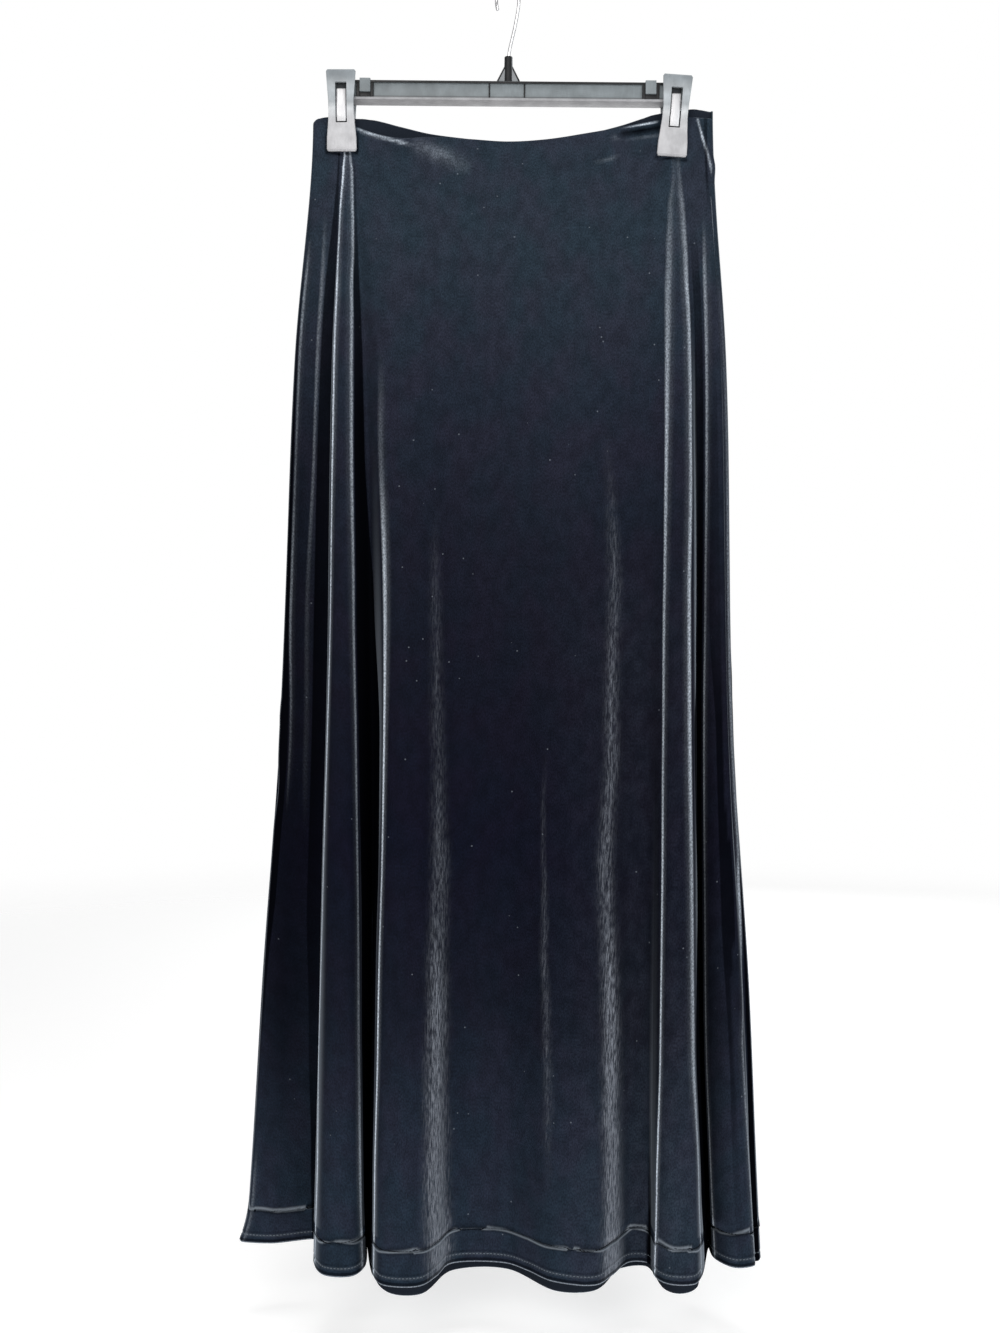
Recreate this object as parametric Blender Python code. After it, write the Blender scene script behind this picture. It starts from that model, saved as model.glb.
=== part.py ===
# A long A-line velvet skirt held at its waist by the two clips of a plain clip hanger.
#
# The origin is the inside top of the hanger's hook, where a rail or a nail carries it.
# +Z is up, -Y is the skirt's front and +X is to the right of someone facing that front.
# Sizes below are in millimetres. "Depth" is the distance below the hang point.

import math
from collections import namedtuple

import bmesh
import bpy
from mathutils import Matrix, Vector

MM = 0.001

# ---- cloth -------------------------------------------------------------------------

WALL = 1.5            # velvet with its pile
HEM_TURN_UP = 8.5     # height of the hem's turned-up second layer
HEM_EXTRA = 0.9       # thickness that layer adds, inside
SEAM_GAP = 0.3        # between the two panels' edges
HALF_OPEN = 4.5       # front or back panel to the middle of the hollow, just below the waist
HALF_PINCHED = (WALL + SEAM_GAP) / 2
PINCH_BELOW = 13      # how far below a clip's lower edge the panels stay flat
PINCH_FADE = 35       # how far from there they stay drawn together
SIDE_TURN_AT_HEM = 2.5  # how much rounder the side edges are at the hem
FOLD_GROWTH = 1.1     # power that a fold's depth grows by, from its start to the hem
WAIST_LEVELLING = 170  # depth over which the dip of the waist line fades out
HEM_LEVELLING = 0.75  # share of the length above which a panel's hem drop is unfelt
CORNER_KICK = 6.5     # the left hem corner turns outwards this far
CORNER_KICK_HEIGHT = 40
ROWS_TO_HEM = 18
ROW_SPREAD = 1.65     # rows are closer together near the waist
HEM_ROWS_ABOVE = (36, 22, HEM_TURN_UP + 1, HEM_TURN_UP, 0)
STEPS_PER_FOLD = 2

# depths of the table's columns of x positions
STATIONS = (128, 343, 663, 912, 1139)
WAIST_DEPTH = STATIONS[0]
HEM_DEPTH = STATIONS[-1]

# x at waist, hip, knee, calf and hem, the depth y that the fold reaches at the hem
# (negative is forwards), the depth below the hang point where it starts, and how much
# lower than the front's level hem the edge is there
Fold = namedtuple("Fold", "name waist hip knee calf hem hem_y starts drop")

SIDE_SEAMS = (
    Fold("left seam", -172.7, -189.6, -203.5, -221.5, -237, 27, 220, -3),
    Fold("right seam", 181.6, 193, 199, 213.5, 223, -7, 220, 0),
)

FRONT_FOLDS = (
    Fold("left side crest", -163, -178, -190, -204, -213, 22, 200, -3),
    Fold("left side hollow", -147.5, -157, -163, -166, -169, 30, 158, -3),
    Fold("left cone outer edge", -145.5, -154.4, -160, -166, -170.5, -9.5, 158, 0),
    Fold("left cone crest, outer", -144, -149, -152, -155, -158, -37.5, 158, 0),
    Fold("left cone crest, inner", -142, -141.5, -140, -138, -135, -40, 158, 0),
    Fold("left cone inner edge", -140.5, -136, -132.5, -129.5, -125.5, -22, 158, 0),
    Fold("left pleat floor", -136, -127, -121.5, -122.5, -127.8, 27, 165, 0),
    Fold("left crest edge", -129, -113.5, -109, -114.5, -116.2, -38, 175, 0),
    Fold("left crest, outer", -108, -102, -100, -103, -106, -57, 200, 0),
    Fold("left crest, inner", -85, -80, -77, -76, -76, -59.5, 260, 0),
    Fold("left crest slope", -66, -64, -63, -62.5, -62, -40, 300, 0),
    Fold("middle valley, left", -50, -48, -48, -49, -50, -13.5, 300, 0),
    Fold("middle valley, right", -10, -8, -5, -3, -3, -12.5, 300, 0),
    Fold("right crest, inner slope", 10, 12, 16, 17, 17, -28, 300, 0),
    Fold("right crest, inner", 35, 38, 40, 39, 38, -50, 300, 0),
    Fold("right crest, outer", 68, 70, 73, 73, 73, -57, 300, 0),
    Fold("right crest, outer slope", 86, 87, 88, 89, 89, -38, 280, 0),
    Fold("right valley", 106, 109, 109, 108, 107, -11, 240, 0),
    Fold("right valley end", 126, 127, 124, 122, 122.5, -13, 200, 0),
    Fold("right cone inner edge", 141, 141.5, 135, 131, 126.3, -43, 170, 0),
    Fold("right cone crest, inner", 143, 147, 142, 138.5, 137, -56, 170, 0),
    Fold("right cone crest, outer", 145, 155.5, 155, 155, 157, -56, 170, 0),
    Fold("right cone outer edge", 147, 160.5, 162, 163.5, 165.2, -42, 170, 0),
    Fold("right pleat floor", 158, 168, 168.5, 171, 181, 21, 170, 0),
    Fold("right fold inner edge", 168, 175, 174.5, 176, 183, -3, 175, 0),
    Fold("right fold crest", 173, 181, 184, 188.5, 198, -22.5, 175, 0),
    Fold("right fold outer edge", 177, 187, 193, 203, 215.5, -18, 175, 0),
)

BACK_FOLDS = (
    Fold("left side", -160, -172, -182, -196, -206, 43, 200, -3),
    Fold("left hollow", -150, -157, -164, -168, -172, 45, 200, -2),
    Fold("behind left cone", -143, -145, -146, -147, -147, 20, 200, 3),
    Fold("behind left pleat", -128, -124, -121, -120, -120, 44, 200, 5),
    Fold("left crest edge", -112, -103, -98, -105, -112.5, -28, 200, 15),
    Fold("left crest, outer", -102, -94, -90, -95, -100, -41, 220, 18),
    Fold("left crest, inner", -85, -80, -77, -78, -77, -41, 260, 18.5),
    Fold("middle valley, left", -50, -47, -46, -47, -50, 12, 300, 20),
    Fold("middle valley, right", -10, -10, -9, -5, -2, 14, 300, 19.5),
    Fold("right crest, inner", 35, 38, 42, 42, 43, -34.5, 300, 18.5),
    Fold("right crest, outer", 66, 68, 70, 71, 73.5, -35.5, 300, 17.8),
    Fold("right valley, inner", 98, 102, 104, 102, 102, 17, 260, 20.5),
    Fold("right valley, outer", 126, 126, 124, 122.5, 124.5, 18, 240, 19),
    Fold("right cone inner edge", 140, 141, 140, 138, 138, -37, 200, 17),
    Fold("right cone crest", 145, 150, 149, 148.5, 148, -43, 200, 17),
    Fold("right cone outer edge", 150, 157, 157.5, 159.5, 163, -32, 200, 17),
    Fold("behind right pleat", 160, 168, 168, 169, 172, 42, 200, 0),
    Fold("behind right fold", 172, 182, 185, 189, 199, 14, 200, 0),
)

# the waist line: how deep each panel's top edge lies at an x
WaistPoint = namedtuple("WaistPoint", "x back front")
WAIST_LINE = (
    WaistPoint(-175, 128, 129),
    WaistPoint(-160, 126, 127.5),
    WaistPoint(-135, 127.5, 135),
    WaistPoint(-118, 128.2, 141.7),
    WaistPoint(-96, 133.2, 146.5),
    WaistPoint(-70, 139.4, 145.2),
    WaistPoint(-35, 144, 147),
    WaistPoint(0, 147.7, 149.2),
    WaistPoint(35, 145.6, 147.1),
    WaistPoint(70, 139.7, 141.7),
    WaistPoint(100, 132.4, 136.4),
    WaistPoint(130, 124, 130),
    WaistPoint(157, 120.5, 127),
    WaistPoint(182, 120.5, 128.5),
)

# ---- hanger ------------------------------------------------------------------------

HANGER_TILT = math.radians(0.53)  # it hangs a little low on the right
BAR_LEFT, BAR_RIGHT = -155, 156
BAR_TOP_DEPTH, BAR_BOTTOM_DEPTH = 97, 114
BAR_WIDTH = 15        # front to back, across its flanges
FLANGE = 2.2
WEB_FRONT, WEB_BACK = -5.6, -3.4  # the upright wall between the flanges, near the front
RIB_PLACES = (-15.5, 15.6)
RIB_THICKNESS = 1.0
RIB_REACH = 6.9
STOP_BLOCKS = (-125.6, 127.4)
STOP_BLOCK_SIZE = (9.5, 17.6, 15.5)
STOP_BLOCK_RISE = 1.4
POST_X = 1.2
POST_WIDTH = 8
POST_TOP_DEPTH = 73
POST_BEVEL = 1
GUSSET_REACH = 8
GUSSET_RISE = 1       # its outer end's height above the bar
GUSSET_TOP_DEPTH = 81

WIRE_RADIUS = 1.4
HOOK_RADIUS = 18      # of the wire's centre line
HOOK_TURN = math.radians(-55)  # the hook swivels; it hangs turned this far round the post
HOOK_TIP = math.radians(205)
HOOK_SHANK = math.radians(-22)
HOOK_STEPS = 20
SHANK_POINTS = ((15.5, -33), (10.6, -47), (4.6, -60), (1.2, -68), (0, -76))  # along the hook's plane, up
SHANK_SHIFT_DEPTH = 60  # by here the shank has moved from the hang point's x to the post's
WIRE_END = -80
BORE_CLEARANCE = 0.3

Clip = namedtuple("Clip", "name x bottom tilt")
CLIPS = (
    Clip("left", -147.5, 157.6, 0),
    Clip("right", 145.3, 162, math.radians(4)),
)
JAW_HEIGHT = 69
JAW_REACH_ASIDE = 17    # half the width of cloth that a clip keeps flat
# height above the jaw's lower edge, half its width, and its inner and outer faces' y
JawSection = namedtuple("JawSection", "height half_width inner outer")
JAW = (
    JawSection(0, 12.2, 1.95, 3.6),
    JawSection(1.5, 13.2, 1.95, 4.9),
    JawSection(12, 13.0, 1.95, 6.0),
    JawSection(22, 12.0, 2.2, 7.4),
    JawSection(32, 11.2, 5.8, 9.6),
    JawSection(42, 11.2, 9.5, 12.0),
    JawSection(58, 12.4, 9.5, 12.6),
    JawSection(67.5, 13.0, 9.9, 12.8),
    JawSection(69, 12.2, 10.4, 12.3),
)
JAW_EDGE_ROUNDING = 0.9
SLOT_WIDTH = 10
SLOT_LOW, SLOT_HIGH = 24, 58
SLOT_CUT_REACH = 20
SPRING_WIDTH = 8
SPRING_THICKNESS = 0.8
SPRING_Y = 8.4
SPRING_END_Y = 6.4
SPRING_LOW, SPRING_BEND, SPRING_TOP = 25.5, 34, 65.5
SPRING_CORNER = 3
SPRING_CORNER_STEPS = 4
SMOOTH_BELOW = math.radians(35)  # hard pieces keep sharper edges than this sharp
CLOTH_SMOOTH_BELOW = math.radians(75)


# ---- shared tools ------------------------------------------------------------------


def material(name, colour, roughness, metallic=0.0):
    made = bpy.data.materials.new(name)
    made.use_nodes = True
    made.diffuse_color = (*colour, 1)
    shader = made.node_tree.nodes["Principled BSDF"]
    shader.inputs["Base Color"].default_value = (*colour, 1)
    shader.inputs["Roughness"].default_value = roughness
    shader.inputs["Metallic"].default_value = metallic
    return made


def new_object(name, bm, finish, smooth_angle=None):
    bmesh.ops.recalc_face_normals(bm, faces=bm.faces)
    mesh = bpy.data.meshes.new(name)
    bm.to_mesh(mesh)
    bm.free()
    if smooth_angle is not None:
        mesh.shade_smooth()
        mesh.set_sharp_from_angle(angle=smooth_angle)
    obj = bpy.data.objects.new(name, mesh)
    obj.data.materials.append(finish)
    bpy.context.scene.collection.objects.link(obj)
    return obj


def curve_at(xs, ys, x):
    """Smooth curve through the points (xs, ys), level at its first, read at x."""
    i = max(1, min(len(xs) - 1, sum(1 for known in xs if known < x)))

    def slope(k):
        if k == 0:
            return 0
        before, after = k - 1, min(k + 1, len(xs) - 1)
        return (ys[after] - ys[before]) / (xs[after] - xs[before])

    width = xs[i] - xs[i - 1]
    s = max(0.0, min(1.0, (x - xs[i - 1]) / width))
    rise = ys[i] - ys[i - 1]
    start, end = slope(i - 1) * width, slope(i) * width
    return ys[i - 1] + start * s + (3 * rise - 2 * start - end) * s**2 + (start + end - 2 * rise) * s**3


def smoothstep(s):
    s = max(0.0, min(1.0, s))
    return s * s * (3 - 2 * s)


def through(points, steps):
    """Centripetal Catmull-Rom curve through points, with this many steps to a span."""
    ends = [2 * points[0] - points[1], *points, 2 * points[-1] - points[-2]]
    found = []
    for a, b, c, d in zip(ends, ends[1:], ends[2:], ends[3:]):
        t1 = math.sqrt((b - a).length)
        t2 = t1 + math.sqrt((c - b).length)
        t3 = t2 + math.sqrt((d - c).length)
        for k in range(steps):
            t = t1 + (t2 - t1) * k / steps
            ab = a + (b - a) * (t / t1)
            bc = b + (c - b) * ((t - t1) / (t2 - t1))
            cd = c + (d - c) * ((t - t2) / (t3 - t2))
            abc = ab + (bc - ab) * (t / t2)
            bcd = bc + (cd - bc) * ((t - t1) / (t3 - t1))
            found.append(abc + (bcd - abc) * ((t - t1) / (t2 - t1)))
    return [*found, points[-1].copy()]


# ---- skirt panels ------------------------------------------------------------------


def fold_x(fold, depth):
    return curve_at(STATIONS, (fold.waist, fold.hip, fold.knee, fold.calf, fold.hem), depth)


def fold_growth(fold, depth):
    share = max(0.0, (depth - fold.starts) / (HEM_DEPTH - fold.starts))
    return share**FOLD_GROWTH


def half_gap(x, depth):
    """Half the distance between the panels' middles: least in a clip, full away from both."""
    opened = 1.0
    for clip in CLIPS:
        aside = max(0.0, abs(x - clip.x) - JAW_REACH_ASIDE)
        below = max(0.0, depth - clip.bottom - PINCH_BELOW)
        opened = min(opened, smoothstep(math.hypot(aside, below) / PINCH_FADE))
    return HALF_PINCHED + (HALF_OPEN - HALF_PINCHED) * opened


def side_turn(seam, inwards, side, depth):
    """A panel's rounded side edge: from its seam, round a quarter turn, to the panel's face."""
    growth = fold_growth(seam, depth)
    x = fold_x(seam, depth)
    if inwards > 0:
        kick = max(0.0, 1 - (HEM_DEPTH - depth) / CORNER_KICK_HEIGHT)
        x -= CORNER_KICK * kick**2
    rounder = SIDE_TURN_AT_HEM * growth
    turn = half_gap(x, depth) + rounder
    found = []
    eighth = math.sqrt(0.5)
    for across, out in ((0, SEAM_GAP / 2 / turn), (1 - eighth, eighth), (1, 1)):
        y = seam.hem_y * growth + side * rounder * out
        found.append(Vector((x + across * turn * inwards, y, seam.drop, out)))
    return found


def panel_section(folds, side, depth):
    """One level of a panel, left to right, as (x, y, hem drop). side is -1 front, +1 back."""
    left = side_turn(SIDE_SEAMS[0], 1, side, depth)
    right = side_turn(SIDE_SEAMS[1], -1, side, depth)
    middle = [
        Vector((fold_x(fold, depth), fold.hem_y * fold_growth(fold, depth), fold.drop, 1))
        for fold in folds
    ]
    points = []
    for x, y, drop, opened in through([*left, *middle, *reversed(right)], STEPS_PER_FOLD):
        points.append(Vector((x, y + side * opened * half_gap(x, depth), drop)))
    return points


def section_normals(points, side):
    """Unit vectors in the level's plane, out of the skirt."""
    found = []
    last = len(points) - 1
    for k in range(last + 1):
        if k == 0:
            along = Vector((0, side, 0))
        elif k == last:
            along = Vector((0, -side, 0))
        else:
            along = points[k + 1] - points[k - 1]
        found.append(-side * Vector((along.y, -along.x, 0)).normalized())
    return found


def row_depths():
    reach = HEM_DEPTH - HEM_ROWS_ABOVE[0] - WAIST_DEPTH
    spread = [WAIST_DEPTH + reach * (k / ROWS_TO_HEM) ** ROW_SPREAD for k in range(ROWS_TO_HEM)]
    return spread + [HEM_DEPTH - above for above in HEM_ROWS_ABOVE]


def panel(name, folds, side, finish):
    xs = [point.x for point in WAIST_LINE]
    edge = [point.front if side < 0 else point.back for point in WAIST_LINE]
    bm = bmesh.new()
    rings = []
    for depth in row_depths():
        points = panel_section(folds, side, depth)
        turned_up = HEM_EXTRA if HEM_DEPTH - depth <= HEM_TURN_UP else 0
        waist_share = max(0.0, 1 - (depth - WAIST_DEPTH) / WAIST_LEVELLING) ** 2
        run = (depth - WAIST_DEPTH) / (HEM_DEPTH - WAIST_DEPTH)
        hem_share = smoothstep((run - HEM_LEVELLING) / (1 - HEM_LEVELLING))
        outer, inner = [], []
        for point, out in zip(points, section_normals(points, side)):
            dip = (curve_at(xs, edge, point.x) - WAIST_DEPTH) * waist_share
            level = Vector((point.x, point.y, -(depth + dip + point.z * hem_share)))
            outer.append(bm.verts.new((level + out * (WALL / 2)) * MM))
            inner.append(bm.verts.new((level - out * (WALL / 2 + turned_up)) * MM))
        rings.append(outer + inner[::-1])
    for upper, lower in zip(rings, rings[1:]):
        for k in range(len(upper)):
            after = (k + 1) % len(upper)
            bm.faces.new((upper[k], upper[after], lower[after], lower[k]))
    for ring in (rings[0], rings[-1]):
        for k in range(len(ring) // 2 - 1):
            bm.faces.new((ring[k], ring[k + 1], ring[-2 - k], ring[-1 - k]))
    return new_object(name, bm, finish, CLOTH_SMOOTH_BELOW)


# ---- hanger pieces -----------------------------------------------------------------


def to_metres(bm):
    bmesh.ops.scale(bm, vec=(MM, MM, MM), verts=bm.verts)


def box(bm, low, high):
    made = bmesh.ops.create_cube(bm, size=1)["verts"]
    size = Vector(high) - Vector(low)
    bmesh.ops.scale(bm, vec=size, verts=made)
    bmesh.ops.translate(bm, vec=(Vector(high) + Vector(low)) / 2, verts=made)
    return made


def helper(name, bm, parent=None):
    """A shape that a Boolean uses and that isn't part of the object."""
    mesh = bpy.data.meshes.new(name)
    bmesh.ops.recalc_face_normals(bm, faces=bm.faces)
    bm.to_mesh(mesh)
    bm.free()
    obj = bpy.data.objects.new(name, mesh)
    obj.hide_render = True
    obj.display_type = "WIRE"
    obj.parent = parent
    bpy.context.scene.collection.objects.link(obj)
    return obj


def combine(obj, other, operation):
    modifier = obj.modifiers.new(f"{operation.lower()} {other.name}", "BOOLEAN")
    modifier.operation = operation
    modifier.object = other


def hanger_bar(hanger, finish):
    half = BAR_WIDTH / 2
    foot = BAR_TOP_DEPTH - BAR_BOTTOM_DEPTH
    low, high = foot + FLANGE, -FLANGE
    profile = (
        (-half, 0), (half, 0), (half, high), (WEB_BACK, high), (WEB_BACK, low), (half, low),
        (half, foot), (-half, foot), (-half, low), (WEB_FRONT, low), (WEB_FRONT, high), (-half, high),
    )
    bm = bmesh.new()
    corners = [bm.verts.new((BAR_LEFT, y, z - BAR_TOP_DEPTH)) for y, z in profile]
    end = bm.faces.new(corners)
    pushed = bmesh.ops.extrude_face_region(bm, geom=[end])["geom"]
    moved = [item for item in pushed if isinstance(item, bmesh.types.BMVert)]
    bmesh.ops.translate(bm, vec=(BAR_RIGHT - BAR_LEFT, 0, 0), verts=moved)
    to_metres(bm)
    bar = new_object("hanger_bar", bm, finish)
    bar.parent = hanger

    for k, x in enumerate(RIB_PLACES):
        bm = bmesh.new()
        box(
            bm,
            (x - RIB_THICKNESS / 2, -RIB_REACH, FLANGE / 2 - BAR_BOTTOM_DEPTH),
            (x + RIB_THICKNESS / 2, RIB_REACH, -FLANGE / 2 - BAR_TOP_DEPTH),
        )
        to_metres(bm)
        combine(bar, helper(f"rib {k}", bm, hanger), "UNION")

    long, deep, tall = STOP_BLOCK_SIZE
    top = STOP_BLOCK_RISE - BAR_TOP_DEPTH
    for k, x in enumerate(STOP_BLOCKS):
        bm = bmesh.new()
        box(bm, (x - long / 2, -deep / 2, top - tall), (x + long / 2, deep / 2, top))
        to_metres(bm)
        combine(bar, helper(f"stop block {k}", bm, hanger), "UNION")

    bm = bmesh.new()
    half_post = POST_WIDTH / 2
    sunk = -BAR_TOP_DEPTH - FLANGE / 2
    outline = (
        (-half_post - GUSSET_REACH, sunk), (half_post + GUSSET_REACH, sunk),
        (half_post + GUSSET_REACH, GUSSET_RISE - BAR_TOP_DEPTH), (half_post, -GUSSET_TOP_DEPTH),
        (half_post, -POST_TOP_DEPTH - POST_BEVEL), (half_post - POST_BEVEL, -POST_TOP_DEPTH),
        (POST_BEVEL - half_post, -POST_TOP_DEPTH), (-half_post, -POST_TOP_DEPTH - POST_BEVEL),
        (-half_post, -GUSSET_TOP_DEPTH), (-half_post - GUSSET_REACH, GUSSET_RISE - BAR_TOP_DEPTH),
    )
    corners = [bm.verts.new((POST_X + x, -half_post, z)) for x, z in outline]
    pushed = bmesh.ops.extrude_face_region(bm, geom=[bm.faces.new(corners)])["geom"]
    moved = [item for item in pushed if isinstance(item, bmesh.types.BMVert)]
    bmesh.ops.translate(bm, vec=(0, POST_WIDTH, 0), verts=moved)
    to_metres(bm)
    combine(bar, helper("post", bm, hanger), "UNION")

    bm = bmesh.new()
    bore = WIRE_RADIUS + BORE_CLEARANCE
    low, high = WIRE_END - BORE_CLEARANCE, FLANGE - POST_TOP_DEPTH
    bmesh.ops.create_cone(
        bm, cap_ends=True, segments=16, radius1=bore, radius2=bore, depth=high - low,
        matrix=Matrix.Translation((POST_X, 0, (low + high) / 2)),
    )
    to_metres(bm)
    combine(bar, helper("wire bore", bm, hanger), "DIFFERENCE")


def hanger_hook(hanger, finish):
    centre = WIRE_RADIUS - HOOK_RADIUS
    path = []
    for k in range(HOOK_STEPS + 1):
        angle = HOOK_TIP + (HOOK_SHANK - HOOK_TIP) * k / HOOK_STEPS
        path.append(Vector((HOOK_RADIUS * math.cos(angle), centre + HOOK_RADIUS * math.sin(angle))))
    shank = [Vector(point) for point in (*SHANK_POINTS, (0, WIRE_END))]
    path += through([path[-2], path[-1], *shank], 2)[3:]

    data = bpy.data.curves.new("hanger_hook", "CURVE")
    data.dimensions = "3D"
    data.bevel_depth = WIRE_RADIUS * MM
    data.bevel_resolution = 2
    data.use_fill_caps = True
    spline = data.splines.new("POLY")
    spline.points.add(len(path) - 1)
    for point, (along, up) in zip(spline.points, path):
        x = along * math.cos(HOOK_TURN) + POST_X * smoothstep(-up / SHANK_SHIFT_DEPTH)
        point.co = (x * MM, along * math.sin(HOOK_TURN) * MM, up * MM, 1)
    obj = bpy.data.objects.new("hanger_hook", data)
    obj.parent = hanger
    data.materials.append(finish)
    bpy.context.scene.collection.objects.link(obj)


def place_on_clip(bm, clip):
    """From the clip's own frame, its lower edge at 0 and upright, to the skirt's, in metres."""
    turn = Matrix.Rotation(clip.tilt, 4, "Y")
    bmesh.ops.transform(bm, matrix=Matrix.Translation((clip.x, 0, -clip.bottom)) @ turn, verts=bm.verts)
    to_metres(bm)


def clip_jaw(clip, side, finish):
    """One plastic jaw with its handle, slotted for the spring. side is -1 front, +1 back."""
    bm = bmesh.new()
    rings = []
    for row in JAW:
        corners = (
            (-row.half_width, row.inner), (row.half_width, row.inner),
            (row.half_width, row.outer), (-row.half_width, row.outer),
        )
        rings.append([bm.verts.new((x, side * y, row.height)) for x, y in corners])
    for lower, upper in zip(rings, rings[1:]):
        for k in range(4):
            bm.faces.new((lower[k], lower[(k + 1) % 4], upper[(k + 1) % 4], upper[k]))
    bm.faces.new(rings[0])
    bm.faces.new(rings[-1])
    upright = [edge for edge in bm.edges if edge.verts[0].co.z != edge.verts[1].co.z]
    bmesh.ops.bevel(bm, geom=upright, offset=JAW_EDGE_ROUNDING, segments=2, profile=0.5, affect="EDGES")
    place_on_clip(bm, clip)
    jaw = new_object(f"clip_{clip.name}_{'front' if side < 0 else 'back'}_jaw", bm, finish, SMOOTH_BELOW)

    bm = bmesh.new()
    box(bm, (-SLOT_WIDTH / 2, 0, SLOT_LOW), (SLOT_WIDTH / 2, side * SLOT_CUT_REACH, SLOT_HIGH))
    place_on_clip(bm, clip)
    combine(jaw, helper(f"slot {clip.name} {side}", bm), "DIFFERENCE")


def clip_spring(clip, finish):
    """A steel strip bent over the bar, its two legs in the jaws' slots."""
    path = [Vector((0, -SPRING_END_Y, SPRING_LOW)), Vector((0, -SPRING_Y, SPRING_BEND))]
    for side, first in ((-1, 180), (1, 90)):
        for k in range(SPRING_CORNER_STEPS + 1):
            angle = math.radians(first - 90 * k / SPRING_CORNER_STEPS)
            path.append(Vector((
                0,
                side * (SPRING_Y - SPRING_CORNER) + SPRING_CORNER * math.cos(angle),
                SPRING_TOP - SPRING_CORNER + SPRING_CORNER * math.sin(angle),
            )))
    path += [Vector((0, SPRING_Y, SPRING_BEND)), Vector((0, SPRING_END_Y, SPRING_LOW))]
    bm = bmesh.new()
    rings = []
    for k, point in enumerate(path):
        along = path[min(k + 1, len(path) - 1)] - path[max(k - 1, 0)]
        out = Vector((0, -along.z, along.y)).normalized() * SPRING_THICKNESS / 2
        half = Vector((SPRING_WIDTH / 2, 0, 0))
        rings.append([bm.verts.new(point + a + b) for a, b in (
            (out, half), (out, -half), (-out, -half), (-out, half))])
    for lower, upper in zip(rings, rings[1:]):
        for k in range(4):
            bm.faces.new((lower[k], lower[(k + 1) % 4], upper[(k + 1) % 4], upper[k]))
    bm.faces.new(rings[0])
    bm.faces.new(rings[-1])
    place_on_clip(bm, clip)
    new_object(f"clip_{clip.name}_spring", bm, finish, SMOOTH_BELOW)


def main():
    for obj in list(bpy.data.objects):
        bpy.data.objects.remove(obj)
    velvet = material("velvet", (0.018, 0.026, 0.042), 0.9)
    grey_plastic = material("grey plastic", (0.2, 0.21, 0.22), 0.4)
    steel = material("steel", (0.72, 0.72, 0.74), 0.25, 1.0)

    panel("front_panel", FRONT_FOLDS, -1, velvet)
    panel("back_panel", BACK_FOLDS, 1, velvet)
    hanger = bpy.data.objects.new("hanger", None)
    hanger.rotation_euler.y = HANGER_TILT
    bpy.context.scene.collection.objects.link(hanger)
    hanger_bar(hanger, grey_plastic)
    hanger_hook(hanger, steel)
    for clip in CLIPS:
        clip_jaw(clip, -1, grey_plastic)
        clip_jaw(clip, 1, grey_plastic)
        clip_spring(clip, steel)


main()
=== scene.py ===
import math
from collections import namedtuple

import bmesh
import bpy
from mathutils import Matrix, Vector, noise


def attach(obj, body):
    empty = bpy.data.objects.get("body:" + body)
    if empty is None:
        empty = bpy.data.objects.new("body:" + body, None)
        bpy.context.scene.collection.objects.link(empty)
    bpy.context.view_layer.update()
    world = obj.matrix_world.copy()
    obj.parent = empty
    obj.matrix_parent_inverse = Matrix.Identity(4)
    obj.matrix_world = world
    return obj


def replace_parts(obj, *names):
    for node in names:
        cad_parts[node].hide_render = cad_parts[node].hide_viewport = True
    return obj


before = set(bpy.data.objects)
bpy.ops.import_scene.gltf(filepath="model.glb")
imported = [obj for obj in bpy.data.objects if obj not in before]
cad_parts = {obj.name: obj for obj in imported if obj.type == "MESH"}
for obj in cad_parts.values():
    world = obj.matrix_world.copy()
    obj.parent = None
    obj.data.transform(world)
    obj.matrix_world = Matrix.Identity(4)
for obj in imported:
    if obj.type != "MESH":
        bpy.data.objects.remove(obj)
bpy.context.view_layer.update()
print("frame loaded:", len(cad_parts), "nodes")

mm = 0.001  # sizes are in millimetres; "depth" is the distance below the hang point


# camera, floor and light

view = {"place": (-7.1, -1250, -615), "lens": 37.93, "sensor": 36}
studio = {
    "floorHeight": -1205, "floorRadius": 3200, "floorSolidTo": 500, "floorSides": 96,
    "floorColour": (0.9, 0.9, 0.9, 1), "floorRough": 0.6, "floorShine": 0.2, "floorGlow": 0.27,
    "skyColour": (1, 1, 1, 1), "skySeen": 1.0, "skyLight": 0.42,
}
lampKind = namedtuple("lampKind", "name place aim wide high power colour")
lamps = (
    lampKind("keyLamp", (-700, -2300, 100), (0, 0, -550), 1500, 1900, 38, (1, 0.98, 0.96)),
    lampKind("fillLamp", (1300, -1900, -350), (0, 0, -600), 1200, 1600, 20, (0.95, 0.98, 1)),
    lampKind("topLamp", (100, -300, 1200), (0, 0, -600), 1400, 900, 14, (1, 1, 1)),
    lampKind("backLamp", (500, 2300, 0), (0, 0, -550), 1500, 1900, 20, (0.98, 0.99, 1)),
)


def linkObject(name, data):
    made = bpy.data.objects.new(name, data)
    bpy.context.scene.collection.objects.link(made)
    return made


def makeCamera():
    lens = bpy.data.cameras.new("camera")
    lens.lens = view["lens"]
    lens.sensor_width = view["sensor"]
    camera = linkObject("camera", lens)
    camera.location = Vector(view["place"]) * mm
    camera.rotation_euler = (math.radians(90), 0, 0)
    bpy.context.scene.camera = camera


def makeLamps():
    for lamp in lamps:
        light = bpy.data.lights.new(lamp.name, "AREA")
        light.shape = "RECTANGLE"
        light.size, light.size_y = lamp.wide * mm, lamp.high * mm
        light.energy = lamp.power
        light.color = lamp.colour
        holder = linkObject(lamp.name, light)
        holder.location = Vector(lamp.place) * mm
        ahead = Vector(lamp.aim) - Vector(lamp.place)
        holder.rotation_euler = ahead.to_track_quat("-Z", "Y").to_euler()


# shader maths: a Signal is one socket, and arithmetic on it adds Math nodes

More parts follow.
